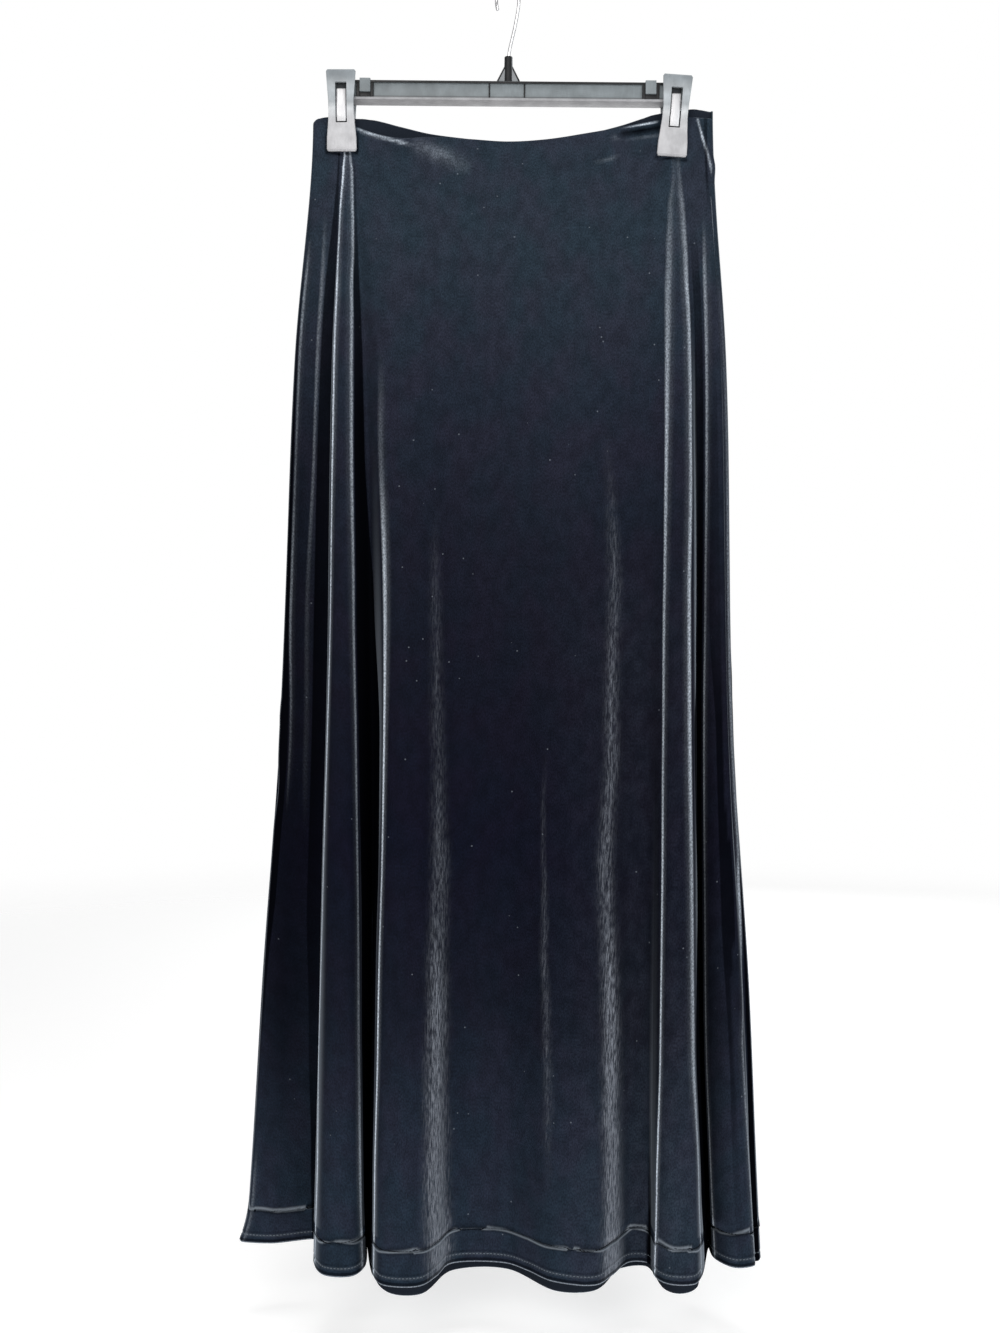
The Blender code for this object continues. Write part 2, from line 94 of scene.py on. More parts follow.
class Signal:
    def __init__(self, finish, socket):
        self.finish, self.socket = finish, socket

    def reckon(self, operation, *values):
        return self.finish.add("ShaderNodeMath", {"operation": operation}, dict(enumerate(values)))

    def __add__(self, other):
        return self.reckon("ADD", self, other)

    __radd__ = __add__

    def __sub__(self, other):
        return self.reckon("SUBTRACT", self, other)

    def __rsub__(self, other):
        return self.reckon("SUBTRACT", other, self)

    def __mul__(self, other):
        return self.reckon("MULTIPLY", self, other)

    __rmul__ = __mul__

    def __truediv__(self, other):
        return self.reckon("DIVIDE", self, other)

    def __pow__(self, other):
        return self.reckon("POWER", self, other)

    def highest(self, other):
        return self.reckon("MAXIMUM", self, other)

    def clamped(self):
        return self.reckon("MINIMUM", self.highest(0.0), 1.0)


class Finish:
    def __init__(self, name, tree=None):
        if tree is None:
            self.material = bpy.data.materials.new(name)
            self.material.use_nodes = True
            tree = self.material.node_tree
        self.nodes, self.links = tree.nodes, tree.links
        self.nodes.clear()

    def add(self, kind, settings, inputs, output=0):  # settings first, then the sockets' values or links
        node = self.nodes.new(kind)
        for name, value in settings.items():
            if name == "stops":
                ramp = node.color_ramp
                while len(ramp.elements) < len(value):
                    ramp.elements.new(0.5)
                for element, (place, colour) in zip(ramp.elements, value):
                    element.position, element.color = place, (*colour, 1)
            else:
                setattr(node, name, value)
        for name, value in inputs.items():
            if isinstance(value, Signal):
                self.links.new(value.socket, node.inputs[name])
            else:
                node.inputs[name].default_value = value
        return Signal(self, node.outputs[output]) if node.outputs else None

    def place(self):
        return self.add("ShaderNodeTexCoord", {}, {}, "Object")

    def clothMap(self):
        return self.add("ShaderNodeUVMap", {"uv_map": "cloth"}, {})

    def axis(self, vector, name):
        return self.add("ShaderNodeSeparateXYZ", {}, {"Vector": vector}, name)

    def ramp(self, level, stops):
        return self.add("ShaderNodeValToRGB", {"stops": stops}, {0: level})

    def scaled(self, colour, factor):
        return self.add("ShaderNodeVectorMath", {"operation": "SCALE"}, {0: colour, "Scale": factor})

    def principled(self, sockets):
        return self.add("ShaderNodeBsdfPrincipled", {}, sockets)

    def attribute(self, name):
        return self.add("ShaderNodeAttribute", {"attribute_name": name}, {}, "Fac")

    def grain(self, place, stretch, detail=2.0, rough=0.5, distort=0.0):  # soft noise, stretched by a Mapping
        moved = self.add("ShaderNodeMapping", {}, {"Vector": place, "Scale": stretch})
        return self.add("ShaderNodeTexNoise", {}, {
            "Vector": moved, "Scale": 1.0, "Detail": detail, "Roughness": rough, "Distortion": distort})

    def spread(self, value, low, high, toLow=0.0, toHigh=1.0):
        return self.add("ShaderNodeMapRange", {"interpolation_type": "SMOOTHSTEP"}, {
            "Value": value, "From Min": low, "From Max": high, "To Min": toLow, "To Max": toHigh})

    def tint(self, factor, first, second, mode="MIX"):
        return self.add("ShaderNodeMix", {"data_type": "RGBA", "blend_type": mode},
                        {0: factor, 6: first, 7: second}, 2)

    def bump(self, height, strength, distance):
        return self.add("ShaderNodeBump", {}, {"Height": height, "Strength": strength, "Distance": distance})

    def close(self, shader):
        self.add("ShaderNodeOutputMaterial", {}, {"Surface": shader})
        return self.material


def makeFloor():
    height, radius = studio["floorHeight"], studio["floorRadius"]
    bm = bmesh.new()
    bmesh.ops.create_circle(bm, cap_ends=True, radius=radius * mm, segments=studio["floorSides"],
                            matrix=Matrix.Translation((0, 0, height * mm)))
    mesh = bpy.data.meshes.new("floor")
    bm.to_mesh(mesh)
    bm.free()
    floor = linkObject("floor", mesh)
    f = Finish("floorPaint")
    away = f.add("ShaderNodeVectorMath", {"operation": "LENGTH"}, {"Vector": f.place()}, "Value")
    faded = f.spread(away, math.hypot(studio["floorSolidTo"], height) * mm, math.hypot(radius, height) * mm)
    hidden = f.add("ShaderNodeNewGeometry", {}, {}, "Backfacing")  # seen from below it is clear
    plain = f.principled({
        "Base Color": studio["floorColour"], "Roughness": studio["floorRough"],
        "Specular IOR Level": studio["floorShine"], "Emission Color": (1, 1, 1, 1),
        "Emission Strength": studio["floorGlow"]})
    clear = f.add("ShaderNodeBsdfTransparent", {}, {})
    seen = f.add("ShaderNodeMixShader", {}, {0: (faded + hidden).clamped(), 1: plain, 2: clear})
    mesh.materials.append(f.close(seen))


def makeSky():
    world = bpy.data.worlds.new("sky")
    bpy.context.scene.world = world
    world.use_nodes = True
    f = Finish("sky", world.node_tree)
    seen = f.add("ShaderNodeLightPath", {}, {}, "Is Camera Ray")
    strength = seen * (studio["skySeen"] - studio["skyLight"]) + studio["skyLight"]
    glow = f.add("ShaderNodeBackground", {}, {"Color": studio["skyColour"], "Strength": strength})
    f.add("ShaderNodeOutputWorld", {}, {"Surface": glow})


# the skirt's cloth

cloth = {
    "wall": 1.5, "seamGap": 0.3, "halfOpen": 4.5,  # half the room between front and back
    "clipReach": 17, "pinchBelow": 13, "pinchFade": 35,  # what a clip keeps flat, and how soon it opens
    "sideTurnAtHem": 2.5, "foldGrowth": 1.1, "waistLevelling": 170, "hemLevelling": 0.75,
    "cornerKick": 6.5, "cornerKickHeight": 40, "cornerRound": 4.5, "cornerRoundDown": 14,
    "columnWidth": 3.1, "fewestSteps": 3, "edgeRoll": 1.3, "hemRoll": 1.4,
    "rippleHeight": 1.1, "rippleWidth": 34, "rippleLength": 260, "rippleFrom": 190, "rippleOver": 260,
    "calmFrom": 1080, "calmOver": 60, "calmShare": 0.5,  # the ripples are lower near the hem
    "hemTurnUp": 8.5, "hemRoom": 0.1, "hemLayer": 0.8, "hemEdge": 0.7,  # the layer inside the hem
    "stitchGroove": 0.55, "stitchGrooveHalf": 0.9, "stitchLineAbove": 7.5,
    "pleatReach": 3, "pleatFrom": 13, "pleatOver": 13,  # how far behind its neighbours cloth gets painted shade
    "streakWander": ((3.5, 120), (1.6, 34)), "streakAcross": 90, "streakSoft": 1.7,  # (reach, length)
    "shadeLimit": 9, "edgeFull": 5, "edgeFade": 4, "markReach": 4, "bendSpan": 2, "bendGain": 9,
}
cloth["halfPinched"] = (cloth["wall"] + cloth["seamGap"]) / 2
rowSteps = {  # how the rows are spaced below the waist's edge and above the hem's
    "top": (0, 0.35, 0.9, 1.7), "first": 2.4, "growsFrom": 40, "growth": 0.035, "most": 8.5, "spare": 7,
    "hem": (30, 25, 20, 16, 12.5, 10.5, 9.2, 8.4, 7.5, 6.6, 5.6, 4, 2.6, 1.6, 0.8, 0.3, 0),
}
stations = (128, 343, 663, 912, 1139)  # depths of waist, hip, knee, calf and hem
waistDepth, hemDepth = stations[0], stations[-1]
clips = {"left": {"x": -147.5, "bottom": 157.6}, "right": {"x": 145.3, "bottom": 162}}

# x at the five stations, y at the hem, depth where the fold starts, how much lower its hem is
fold = namedtuple("fold", "name waist hip knee calf hem hemY starts drop")
leftSeam = fold("left seam", -172.7, -189.6, -203.5, -221.5, -237, 27, 220, -3)
rightSeam = fold("right seam", 181.6, 193, 199, 213.5, 223, -7, 220, 0)

# a crease is a soft ridge, or a trough where its height is negative: (x, depth, height) along it
crease = namedtuple("crease", "name width points")
# a band of painted sheen on a fold's slope, mottled like pressed pile: (depth, x, half its width, strength)
# down it
band = namedtuple("band", "name points")
# a fold's edge, with a painted highlight along it: (depth, place among the folds, strength, width)
# down it; towards is the side its glow fades to, and edges of one set are never close together
edge = namedtuple("edge", "name set towards points")
# painted shade inside a pleat: (depth, from place, to place, strength) down it
shade = namedtuple("shade", "name points")
# a painted highlight, or a painted shadow where its strength is negative: (x, depth, strength) along it
mark = namedtuple("mark", "name width points")

frontPanel = {
    "name": "frontCloth", "node": "front_panel", "side": -1, "seed": 3.0,
    "folds": (
        fold("left side crest", -163, -178, -190, -204, -213, 22, 200, -3),
        fold("left side hollow", -147.5, -157, -163, -166, -169, 30, 158, -3),
        fold("left cone outer edge", -145.5, -154.4, -160, -166, -170.5, -9.5, 158, 0),
        fold("left cone crest, outer", -144, -149, -152, -155, -158, -37.5, 158, 0),
        fold("left cone crest, inner", -142, -141.5, -140, -138, -135, -40, 158, 0),
        fold("left cone inner edge", -140.5, -136, -132.5, -129.5, -125.5, -22, 158, 0),
        fold("left pleat floor", -136, -127, -121.5, -122.5, -127.8, 27, 165, 0),
        fold("left crest edge", -129, -113.5, -109, -114.5, -116.2, -38, 175, 0),
        fold("left crest, outer", -108, -102, -100, -103, -106, -57, 200, 0),
        fold("left crest, inner", -85, -80, -77, -76, -76, -59.5, 260, 0),
        fold("left crest slope", -66, -64, -63, -62.5, -62, -40, 300, 0),
        fold("middle valley, left", -50, -48, -48, -49, -50, -13.5, 300, 0),
        fold("middle valley, right", -10, -8, -5, -3, -3, -12.5, 300, 0),
        fold("right crest, inner slope", 10, 12, 16, 17, 17, -28, 300, 0),
        fold("right crest, inner", 35, 38, 40, 39, 38, -50, 300, 0),
        fold("right crest, outer", 68, 70, 73, 73, 73, -57, 300, 0),
        fold("right crest, outer slope", 86, 87, 88, 89, 89, -38, 280, 0),
        fold("right valley", 106, 109, 109, 108, 107, -11, 240, 0),
        fold("right valley end", 126, 127, 124, 122, 122.5, -13, 200, 0),
        fold("right cone inner edge", 141, 141.5, 135, 131, 126.3, -43, 170, 0),
        fold("right cone crest, inner", 143, 147, 142, 138.5, 137, -56, 170, 0),
        fold("right cone crest, outer", 145, 155.5, 155, 155, 157, -56, 170, 0),
        fold("right cone outer edge", 147, 160.5, 162, 163.5, 165.2, -42, 170, 0),
        fold("right pleat floor", 158, 168, 168.5, 171, 181, 21, 170, 0),
        fold("right fold inner edge", 168, 175, 174.5, 176, 183, -3, 175, 0),
        fold("right fold crest", 173, 181, 184, 188.5, 198, -22.5, 175, 0),
        fold("right fold outer edge", 177, 187, 193, 203, 215.5, -18, 175, 0),
    ),
    "waistLine": (  # (x, depth) of the top edge
        (-175, 129), (-160, 127.5), (-135, 135), (-118, 141.7), (-96, 146.5), (-70, 145.2), (-35, 147),
        (0, 149.2), (35, 147.1), (70, 141.7), (100, 136.4), (130, 130), (157, 127), (182, 128.5),
    ),
    "creases": (
        crease("left drag fold", 5, (
            (-134, 139, 0.5), (-112, 146, 1.2), (-88, 153, 1.6), (-62, 163, 1.0), (-38, 178, 0))),
        crease("left drag hollow", 6, ((-112, 158, 0), (-92, 165, -1.2), (-70, 177, -0.8), (-50, 192, 0))),
        crease("right rim roll", 2.6, ((88, 143, 0), (100, 140.5, 0.9), (118, 136.5, 1.2), (131, 133, 1.0))),
        crease("right rim hollow", 3.4, (
            (96, 147, 0), (108, 143.5, -1.8), (122, 141, -2.4), (134, 139, -1.6))),
        crease("right drag fold", 4, ((86, 152, 0), (102, 149.5, 1.3), (120, 148, 1.2), (133, 148, 0.4))),
        crease("right small mark", 2, ((70, 163, 0), (82, 161.5, 0.5), (98, 158.5, 0))),
        crease("right corner ledge", 2.2, ((167, 130, 1.2), (175, 151, 1.6), (182, 169, 1.3), (186, 190, 0))),
        crease("side crinkle 1", 5, ((-205, 640, 0), (-197, 668, 1.5), (-201, 700, 0))),
        crease("side crinkle 2", 6, ((-198, 690, 0), (-208, 725, -1.8), (-203, 762, 0))),
        crease("side crinkle 3", 5, ((-190, 740, 0), (-186, 782, 1.4), (-192, 830, 0))),
        crease("middle crinkle", 1.8, (
            (33, 630, 0), (31, 720, 0.7), (33, 800, 0.4), (31, 880, 0.8), (32, 990, 0.6), (31, 1080, 0))),
        crease("left long ripple", 7, ((-92, 420, 0), (-96, 560, 0.9), (-90, 720, 0.6), (-94, 840, 0))),
        crease("middle long ripple", 9, ((-24, 520, 0), (-20, 700, 1.0), (-27, 860, 0.5), (-24, 960, 0))),
        crease("right long ripple", 6, ((56, 470, 0), (60, 610, 0.7), (55, 760, 0.9), (58, 900, 0))),
    ),
    "edges": (
        edge("left rim", "A", 1, (
            (230, 1.9, 0, 1.6), (285, 1.83, 0.185, 1.6), (424, 2.0, 0.12, 1.4), (557, 1.95, 0.235, 1.5),
            (683, 2.6, 0.085, 1.4), (750, 2.6, 0, 1.4), (1040, 1.5, 0, 2), (1103, 1.42, 0.07, 2))),
        edge("left side", "B", 1, (
            (205, 3.3, 0, 2.2), (285, 3.38, 0.095, 2.2), (424, 3.37, 0.09, 1.6), (557, 3.27, 0.03, 2.4),
            (683, 3.35, 0.017, 3), (770, 3.4, 0, 3))),
        edge("left cone, outer", "A", 1, (
            (143, 6.1, 0.3, 1.0), (150, 5.6, 0.4, 1.1), (158, 5.35, 0.45, 1.2), (172, 4.95, 0.56, 1.3),
            (213, 4.75, 0.55, 1.4), (242, 4.88, 0.53, 1.5), (285, 5.11, 0.62, 1.8), (424, 5.33, 0.66, 1.8),
            (557, 5.36, 0.58, 1.7), (683, 5.25, 0.76, 2), (816, 5.23, 0.52, 2), (949, 5.1, 0.75, 1.8),
            (1061, 5.35, 0.76, 2.4), (1139, 5.3, 0.68, 2))),
        edge("left cone, inner", "B", -1, (
            (143, 7.3, 0.2, 1.2), (150, 7.7, 0.21, 1.3), (158, 8.1, 0.22, 1.4), (172, 8.35, 0.235, 1.6),
            (213, 8.3, 0.225, 1.8), (242, 8.2, 0.225, 2), (285, 7.74, 0.21, 2), (361, 7.52, 0.21, 2),
            (424, 7.45, 0.225, 2), (557, 7.63, 0.18, 2), (683, 7.8, 0.18, 2), (816, 7.83, 0.17, 2),
            (949, 7.72, 0.16, 3), (1061, 7.72, 0.5, 3), (1139, 7.8, 0.45, 3))),
        edge("left crest", "A", 1, (
            (330, 10.1, 0, 4), (424, 9.93, 0.06, 4), (557, 10.15, 0.45, 3), (683, 10.08, 0.75, 2.2),
            (816, 10.28, 0.53, 1.8), (949, 10.34, 0.72, 1.8), (1061, 10.15, 1.0, 2),
            (1139, 10.12, 0.86, 2))),
        edge("right cone, inner", "A", 1, (
            (143, 24.1, 0.005, 2), (172, 24.4, 0.02, 2.4), (213, 22.6, 0.06, 3.2), (242, 22.15, 0.1, 3.6),
            (285, 21.93, 0.165, 3.4), (361, 21.9, 0.24, 2.6), (424, 21.92, 0.31, 2),
            (557, 21.98, 0.25, 1.8), (683, 22.12, 0.3, 1.6), (816, 22.18, 0.54, 1.6),
            (949, 22.18, 0.6, 1.6), (1061, 21.98, 0.85, 1.8), (1139, 21.92, 0.95, 1.6))),
        edge("right cone, outer", "B", -1, (
            (143, 25.3, 0.01, 2), (172, 25.4, 0.035, 2.6), (213, 25.41, 0.11, 3.2), (242, 25.36, 0.18, 3.2),
            (285, 25.16, 0.32, 2.8), (361, 24.95, 0.31, 2.6), (424, 24.75, 0.31, 2.4),
            (557, 24.35, 0.34, 2.4), (683, 24.3, 0.34, 2.6), (816, 24.4, 0.26, 3), (949, 24.35, 0.26, 3.2),
            (1061, 24.78, 0.29, 2.4), (1139, 25.0, 0.29, 2))),
        edge("right fold", "A", 1, (
            (213, 27.5, 0, 2), (285, 27.22, 0.18, 2), (361, 27.14, 0.19, 1.8), (424, 27.1, 0.19, 1.8),
            (557, 27.05, 0.12, 1.6), (683, 26.97, 0.27, 1.6), (816, 26.98, 0.15, 1.6),
            (949, 26.92, 0.3, 1.6), (1061, 27.0, 0.45, 1.6), (1139, 27.05, 0.5, 1.6))),
        edge("right rim", "B", -1, (
            (242, 30.6, 0, 2), (424, 31.0, 0.09, 2), (557, 31.0, 0.15, 2), (683, 31.0, 0.15, 2),
            (770, 31.0, 0.18, 2), (816, 30.46, 0.28, 2), (900, 29.6, 0.14, 2), (949, 29.0, 0.12, 2),
            (1061, 29.1, 0.24, 1.8), (1139, 29.1, 0.24, 2))),
    ),
    "shades": (
        shade("left of the left cone", (
            (150, 3.75, 3.88, 0.3), (172, 3.72, 3.88, 0.7), (285, 3.5, 4.25, 0.75), (424, 3.47, 4.4, 0.75),
            (557, 3.48, 4.6, 0.78), (683, 3.5, 4.6, 0.75), (816, 3.5, 4.6, 0.6), (949, 3.6, 4.6, 0.5),
            (1061, 3.68, 4.8, 0.85), (1139, 3.72, 4.9, 0.85))),
        shade("left pleat", (
            (150, 8.6, 8.9, 0), (172, 8.6, 9.0, 0.3), (285, 8.0, 8.75, 0.8), (424, 7.74, 8.7, 1),
            (557, 7.9, 9.3, 1), (683, 8.05, 9.7, 1), (816, 8.1, 9.95, 1), (949, 8.0, 10.05, 1),
            (1061, 8.0, 9.95, 1), (1139, 8.1, 9.95, 1))),
        shade("left silhouette", (
            (250, 0.9, 1.2, 0), (285, 0.9, 1.4, 0.5), (424, 0.8, 1.6, 0.6), (557, 0.9, 1.65, 1),
            (683, 0.9, 2.35, 0.75), (816, 0.9, 2.1, 0.8), (900, 0.9, 1.5, 0.5), (980, 0.9, 1.3, 0))),
        shade("right pleat", (
            (200, 25.9, 26.5, 0), (285, 25.8, 26.75, 0.55), (424, 25.5, 26.8, 0.8),
            (557, 25.75, 26.8, 0.95), (683, 24.9, 26.75, 0.95), (816, 25.1, 26.78, 1),
            (949, 24.65, 26.75, 1), (1061, 25.05, 26.85, 1), (1139, 25.3, 26.87, 1))),
        shade("right cone's inner flank", (
            (620, 21.4, 21.8, 0), (760, 21.5, 21.9, 0.3), (949, 21.5, 22, 0.45), (1061, 21.45, 21.8, 0.5),
            (1139, 21.4, 21.75, 0.55))),
        shade("right fold's outer side", (
            (300, 27.6, 28.1, 0), (424, 27.5, 28.7, 0.35), (557, 27.4, 28.7, 0.35), (683, 27.9, 28.6, 0.85),
            (816, 28.0, 28.9, 0.8), (949, 28.2, 28.55, 0.6), (1061, 28.1, 28.5, 0.25),
            (1139, 28.1, 28.4, 0.2))),
        shade("right silhouette", (
            (740, 30.8, 31, 0), (816, 30.7, 31.2, 0.9), (949, 30.2, 31.2, 1), (1061, 29.5, 31.2, 1),
            (1139, 29.9, 31.2, 1))),
        shade("right corner", ((120, 28.2, 29.2, 0.5), (172, 28.3, 28.9, 0.65), (215, 28.3, 28.8, 0))),
    ),
    # painted highlights along the waist's edges, drag folds and corner, painted shade on the left side, in
    # the right hollow and around the clips' pads, and a little painted light on the right half
    "marks": (
        mark("left edge", 1.15, (
            (-137, 136.5, 0), (-132, 138.2, 0.32), (-118, 143.6, 0.38), (-96, 150.5, 0.28),
            (-82, 154.5, 0))),
        mark("left drag fold", 6.5, (
            (-90, 152, 0), (-76, 155, 0.045), (-58, 162, 0.06), (-42, 170, 0.03), (-30, 178, 0))),
        mark("right rim", 1.1, ((97, 140, 0), (105, 138, 0.39), (118, 134.6, 0.56), (132, 131.2, 0.5))),
        mark("right hollow", 2.6, ((96, 144, 0), (104, 142, -0.8), (118, 139, -1), (134, 136, -0.9))),
        mark("right drag fold", 2.2, (
            (88, 147, 0), (105, 144.8, 0.09), (120, 142.6, 0.12), (133, 141, 0.07))),
        mark("right streak", 1.3, ((74, 168.5, 0), (83, 167, 0.05), (92, 164.5, 0.05), (101, 162, 0))),
        mark("dark left side", 19, (
            (-184, 200, -0.12), (-188, 330, -0.3), (-191, 470, -0.55), (-195, 700, -0.55),
            (-203, 900, -0.55), (-208, 1100, -0.12), (-208, 1139, 0))),
        mark("right half", 62, (
            (110, 470, 0), (112, 620, 0.003), (114, 800, 0.004), (122, 1100, 0.006), (124, 1139, 0.007))),
        mark("left pad, below", 1.3, ((-160.5, 158.6, -0.9), (-147.5, 159.4, -1), (-134.5, 158.6, -0.9))),
        mark("left pad, left", 1.1, ((-161.6, 141, -0.5), (-161.6, 157, -0.9))),
        mark("left pad, right", 1.1, ((-133.6, 141, -0.5), (-133.6, 157, -0.9))),
        mark("right pad, below", 1.3, ((131.5, 162.6, -0.9), (145.3, 163.6, -1), (158.5, 164.6, -0.9))),
        mark("right corner ledge", 0.75, (
            (168.5, 129, 0.3), (172.5, 145, 0.5), (177, 160, 0.5), (179.5, 170, 0.3), (181, 180, 0))),
    ),
    "bands": (
        band("left crest slope", (
            (430, -63, 6.5, 0), (557, -63, 7, 0.3), (683, -62, 8, 0.34), (816, -61, 8.5, 0.56),
            (949, -62, 8.5, 0.95), (1061, -62, 9, 1.12), (1139, -59, 10, 1.12))),
        band("right crest slope", (
            (330, 89, 6, 0), (557, 92, 8, 0.42), (683, 90, 8, 0.52), (816, 86, 8.5, 0.62),
            (949, 89, 8, 1.02), (1061, 90, 8, 1.2), (1139, 89, 9, 1.4))),
        band("middle crest", (
            (640, 31, 3, 0), (760, 31, 3, 0.3), (860, 30.5, 4, 0.42), (980, 34, 5.5, 0.36),
            (1110, 31, 7, 0))),
    ),
}

backPanel = {
    "name": "backCloth", "node": "back_panel", "side": 1, "seed": 41.0,
    "folds": (
        fold("left side", -160, -172, -182, -196, -206, 43, 200, -3),
        fold("left hollow", -150, -157, -164, -168, -172, 45, 200, -2),
        fold("behind left cone", -143, -145, -146, -147, -147, 20, 200, 3),
        fold("behind left pleat", -128, -124, -121, -120, -120, 44, 200, 5),
        fold("left crest edge", -112, -103, -98, -105, -112.5, -28, 200, 15),
        fold("left crest, outer", -102, -94, -90, -95, -100, -41, 220, 18),
        fold("left crest, inner", -85, -80, -77, -78, -77, -41, 260, 18.5),
        fold("middle valley, left", -50, -47, -46, -47, -50, 12, 300, 20),
        fold("middle valley, right", -10, -10, -9, -5, -2, 14, 300, 19.5),
        fold("right crest, inner", 35, 38, 42, 42, 43, -34.5, 300, 18.5),
        fold("right crest, outer", 66, 68, 70, 71, 73.5, -35.5, 300, 17.8),
        fold("right valley, inner", 98, 102, 104, 102, 102, 17, 260, 20.5),
        fold("right valley, outer", 126, 126, 124, 122.5, 124.5, 18, 240, 19),
        fold("right cone inner edge", 140, 141, 140, 138, 138, -37, 200, 17),
        fold("right cone crest", 145, 150, 149, 148.5, 148, -43, 200, 17),
        fold("right cone outer edge", 150, 157, 157.5, 159.5, 163, -32, 200, 17),
        fold("behind right pleat", 160, 168, 168, 169, 172, 42, 200, 0),
        fold("behind right fold", 172, 182, 185, 189, 199, 14, 200, 0),
    ),
    "waistLine": (
        (-175, 128), (-160, 126), (-135, 127.5), (-118, 128.2), (-96, 133.2), (-70, 139.4), (-35, 144),
        (0, 147.7), (35, 145.6), (70, 139.7), (100, 132.4), (130, 124), (157, 119.8), (169, 118.8),
        (182, 120.5),
    ),
    "creases": (
        crease("left drag fold", 6, ((-130, 150, 0.4), (-105, 158, 1.3), (-80, 170, 1.0), (-52, 188, 0))),
        crease("right drag fold", 6, ((128, 148, 0.5), (104, 156, 1.3), (84, 168, 0.9), (60, 182, 0))),
        crease("side crinkle 1", 6, ((196, 600, 0), (190, 640, 1.5), (195, 690, 0))),
        crease("side crinkle 2", 6, ((188, 700, 0), (196, 745, -1.5), (190, 800, 0))),
        crease("left long ripple", 8, ((-88, 400, 0), (-84, 560, 0.9), (-90, 700, 0))),
        crease("middle long ripple", 8, ((-30, 560, 0), (-26, 720, 1.0), (-32, 900, 0.5), (-28, 1000, 0))),
        crease("right long ripple", 7, ((110, 430, 0), (114, 560, 0.8), (110, 720, 1.0), (113, 850, 0))),
    ),
    "edges": (
        edge("left crest", "A", 1, ((300, 8, 0, 2), (600, 8, 0.28, 2.2), (1139, 8, 0.34, 2))),
        edge("right crest", "A", -1, ((300, 12.6, 0, 2), (640, 12.6, 0.17, 3), (1139, 12.6, 0.28, 2.4))),
        edge("left side", "B", 1, (
            (200, 3, 0, 2), (500, 3.4, 0.17, 2), (900, 3.3, 0.28, 2), (1139, 3.2, 0.22, 2))),
        edge("right cone", "B", -1, ((260, 17.5, 0, 2), (600, 17.5, 0.28, 2), (1139, 17.5, 0.34, 2))),
    ),
    "shades": (
        shade("left crest", ((300, 6.3, 7, 0), (600, 6.2, 7.6, 0.5), (1139, 6.6, 7.4, 0.8))),
        shade("right cone", ((300, 15.6, 16.4, 0), (700, 15.6, 16.6, 0.5), (1139, 15.6, 16.6, 0.8))),
    ),
    # painted highlights on the drag folds
    "marks": (
        mark("left drag fold", 5, ((-128, 152, 0), (-105, 159, 0.067), (-80, 171, 0.045), (-52, 188, 0))),
        mark("right drag fold", 5, ((126, 150, 0), (104, 157, 0.067), (84, 169, 0.045), (60, 184, 0))),
    ),
    "bands": (
        band("left crest slope", (
            (420, -66, 6, 0), (620, -64, 8, 0.4), (900, -62, 10, 0.8), (1139, -61, 12, 0.9))),
        band("right crest slope", (
            (400, 86, 6, 0), (600, 87, 8, 0.5), (860, 86, 9, 0.8), (1139, 85, 11, 0.9))),
        band("middle slope", ((560, 16, 5, 0), (760, 17, 7, 0.5), (1139, 18, 9, 0.7))),
    ),
}


def smoothstep(s):
    s = max(0.0, min(1.0, s))
    return s * s * (3 - 2 * s)


def curveAt(xs, ys, x):  # smooth curve through points, level at its first
    i = max(1, min(len(xs) - 1, sum(1 for known in xs if known < x)))

    def slope(k):
        if k == 0:
            return 0
        before, after = k - 1, min(k + 1, len(xs) - 1)
        return (ys[after] - ys[before]) / (xs[after] - xs[before])

    width = xs[i] - xs[i - 1]
    s = max(0.0, min(1.0, (x - xs[i - 1]) / width))
    rise = ys[i] - ys[i - 1]
    start, end = slope(i - 1) * width, slope(i) * width
    return ys[i - 1] + start * s + (3 * rise - 2 * start - end) * s**2 + (start + end - 2 * rise) * s**3


def linearAt(rows, x):  # rows start with their own place; the rest is read at x
    x = max(rows[0][0], min(rows[-1][0], x))
    for low, high in zip(rows, rows[1:]):
        if x <= high[0]:
            s = smoothstep((x - low[0]) / (high[0] - low[0]))
            return [a + (b - a) * s for a, b in zip(low[1:], high[1:])]


def through(points, steps):  # centripetal Catmull-Rom curve, steps[k] to its span k
    ends = [2 * points[0] - points[1], *points, 2 * points[-1] - points[-2]]
    found = []
    for a, b, c, d, count in zip(ends, ends[1:], ends[2:], ends[3:], steps):
        t1 = math.sqrt((b - a).length)
        t2 = t1 + math.sqrt((c - b).length)
        t3 = t2 + math.sqrt((d - c).length)
        for k in range(count):
            t = t1 + (t2 - t1) * k / count
            ab = a + (b - a) * (t / t1)
            bc = b + (c - b) * ((t - t1) / (t2 - t1))
            cd = c + (d - c) * ((t - t2) / (t3 - t2))
            abc = ab + (bc - ab) * (t / t2)
            bcd = bc + (cd - bc) * ((t - t1) / (t3 - t1))
            found.append(abc + (bcd - abc) * ((t - t1) / (t2 - t1)))
    return [*found, points[-1].copy()]


def foldX(line, depth):
    return curveAt(stations, line[1:6], depth)


def foldGrowth(line, depth):
    return max(0.0, (depth - line.starts) / (hemDepth - line.starts)) ** cloth["foldGrowth"]


def openedBy(x, depth):  # 0 in a clip's grip, 1 away from both
    opened = 1.0
    for clip in clips.values():
        aside = max(0.0, abs(x - clip["x"]) - cloth["clipReach"])
        below = max(0.0, depth - clip["bottom"] - cloth["pinchBelow"])
        opened = min(opened, smoothstep(math.hypot(aside, below) / cloth["pinchFade"]))
    return opened


def halfGap(x, depth):
    return cloth["halfPinched"] + (cloth["halfOpen"] - cloth["halfPinched"]) * openedBy(x, depth)


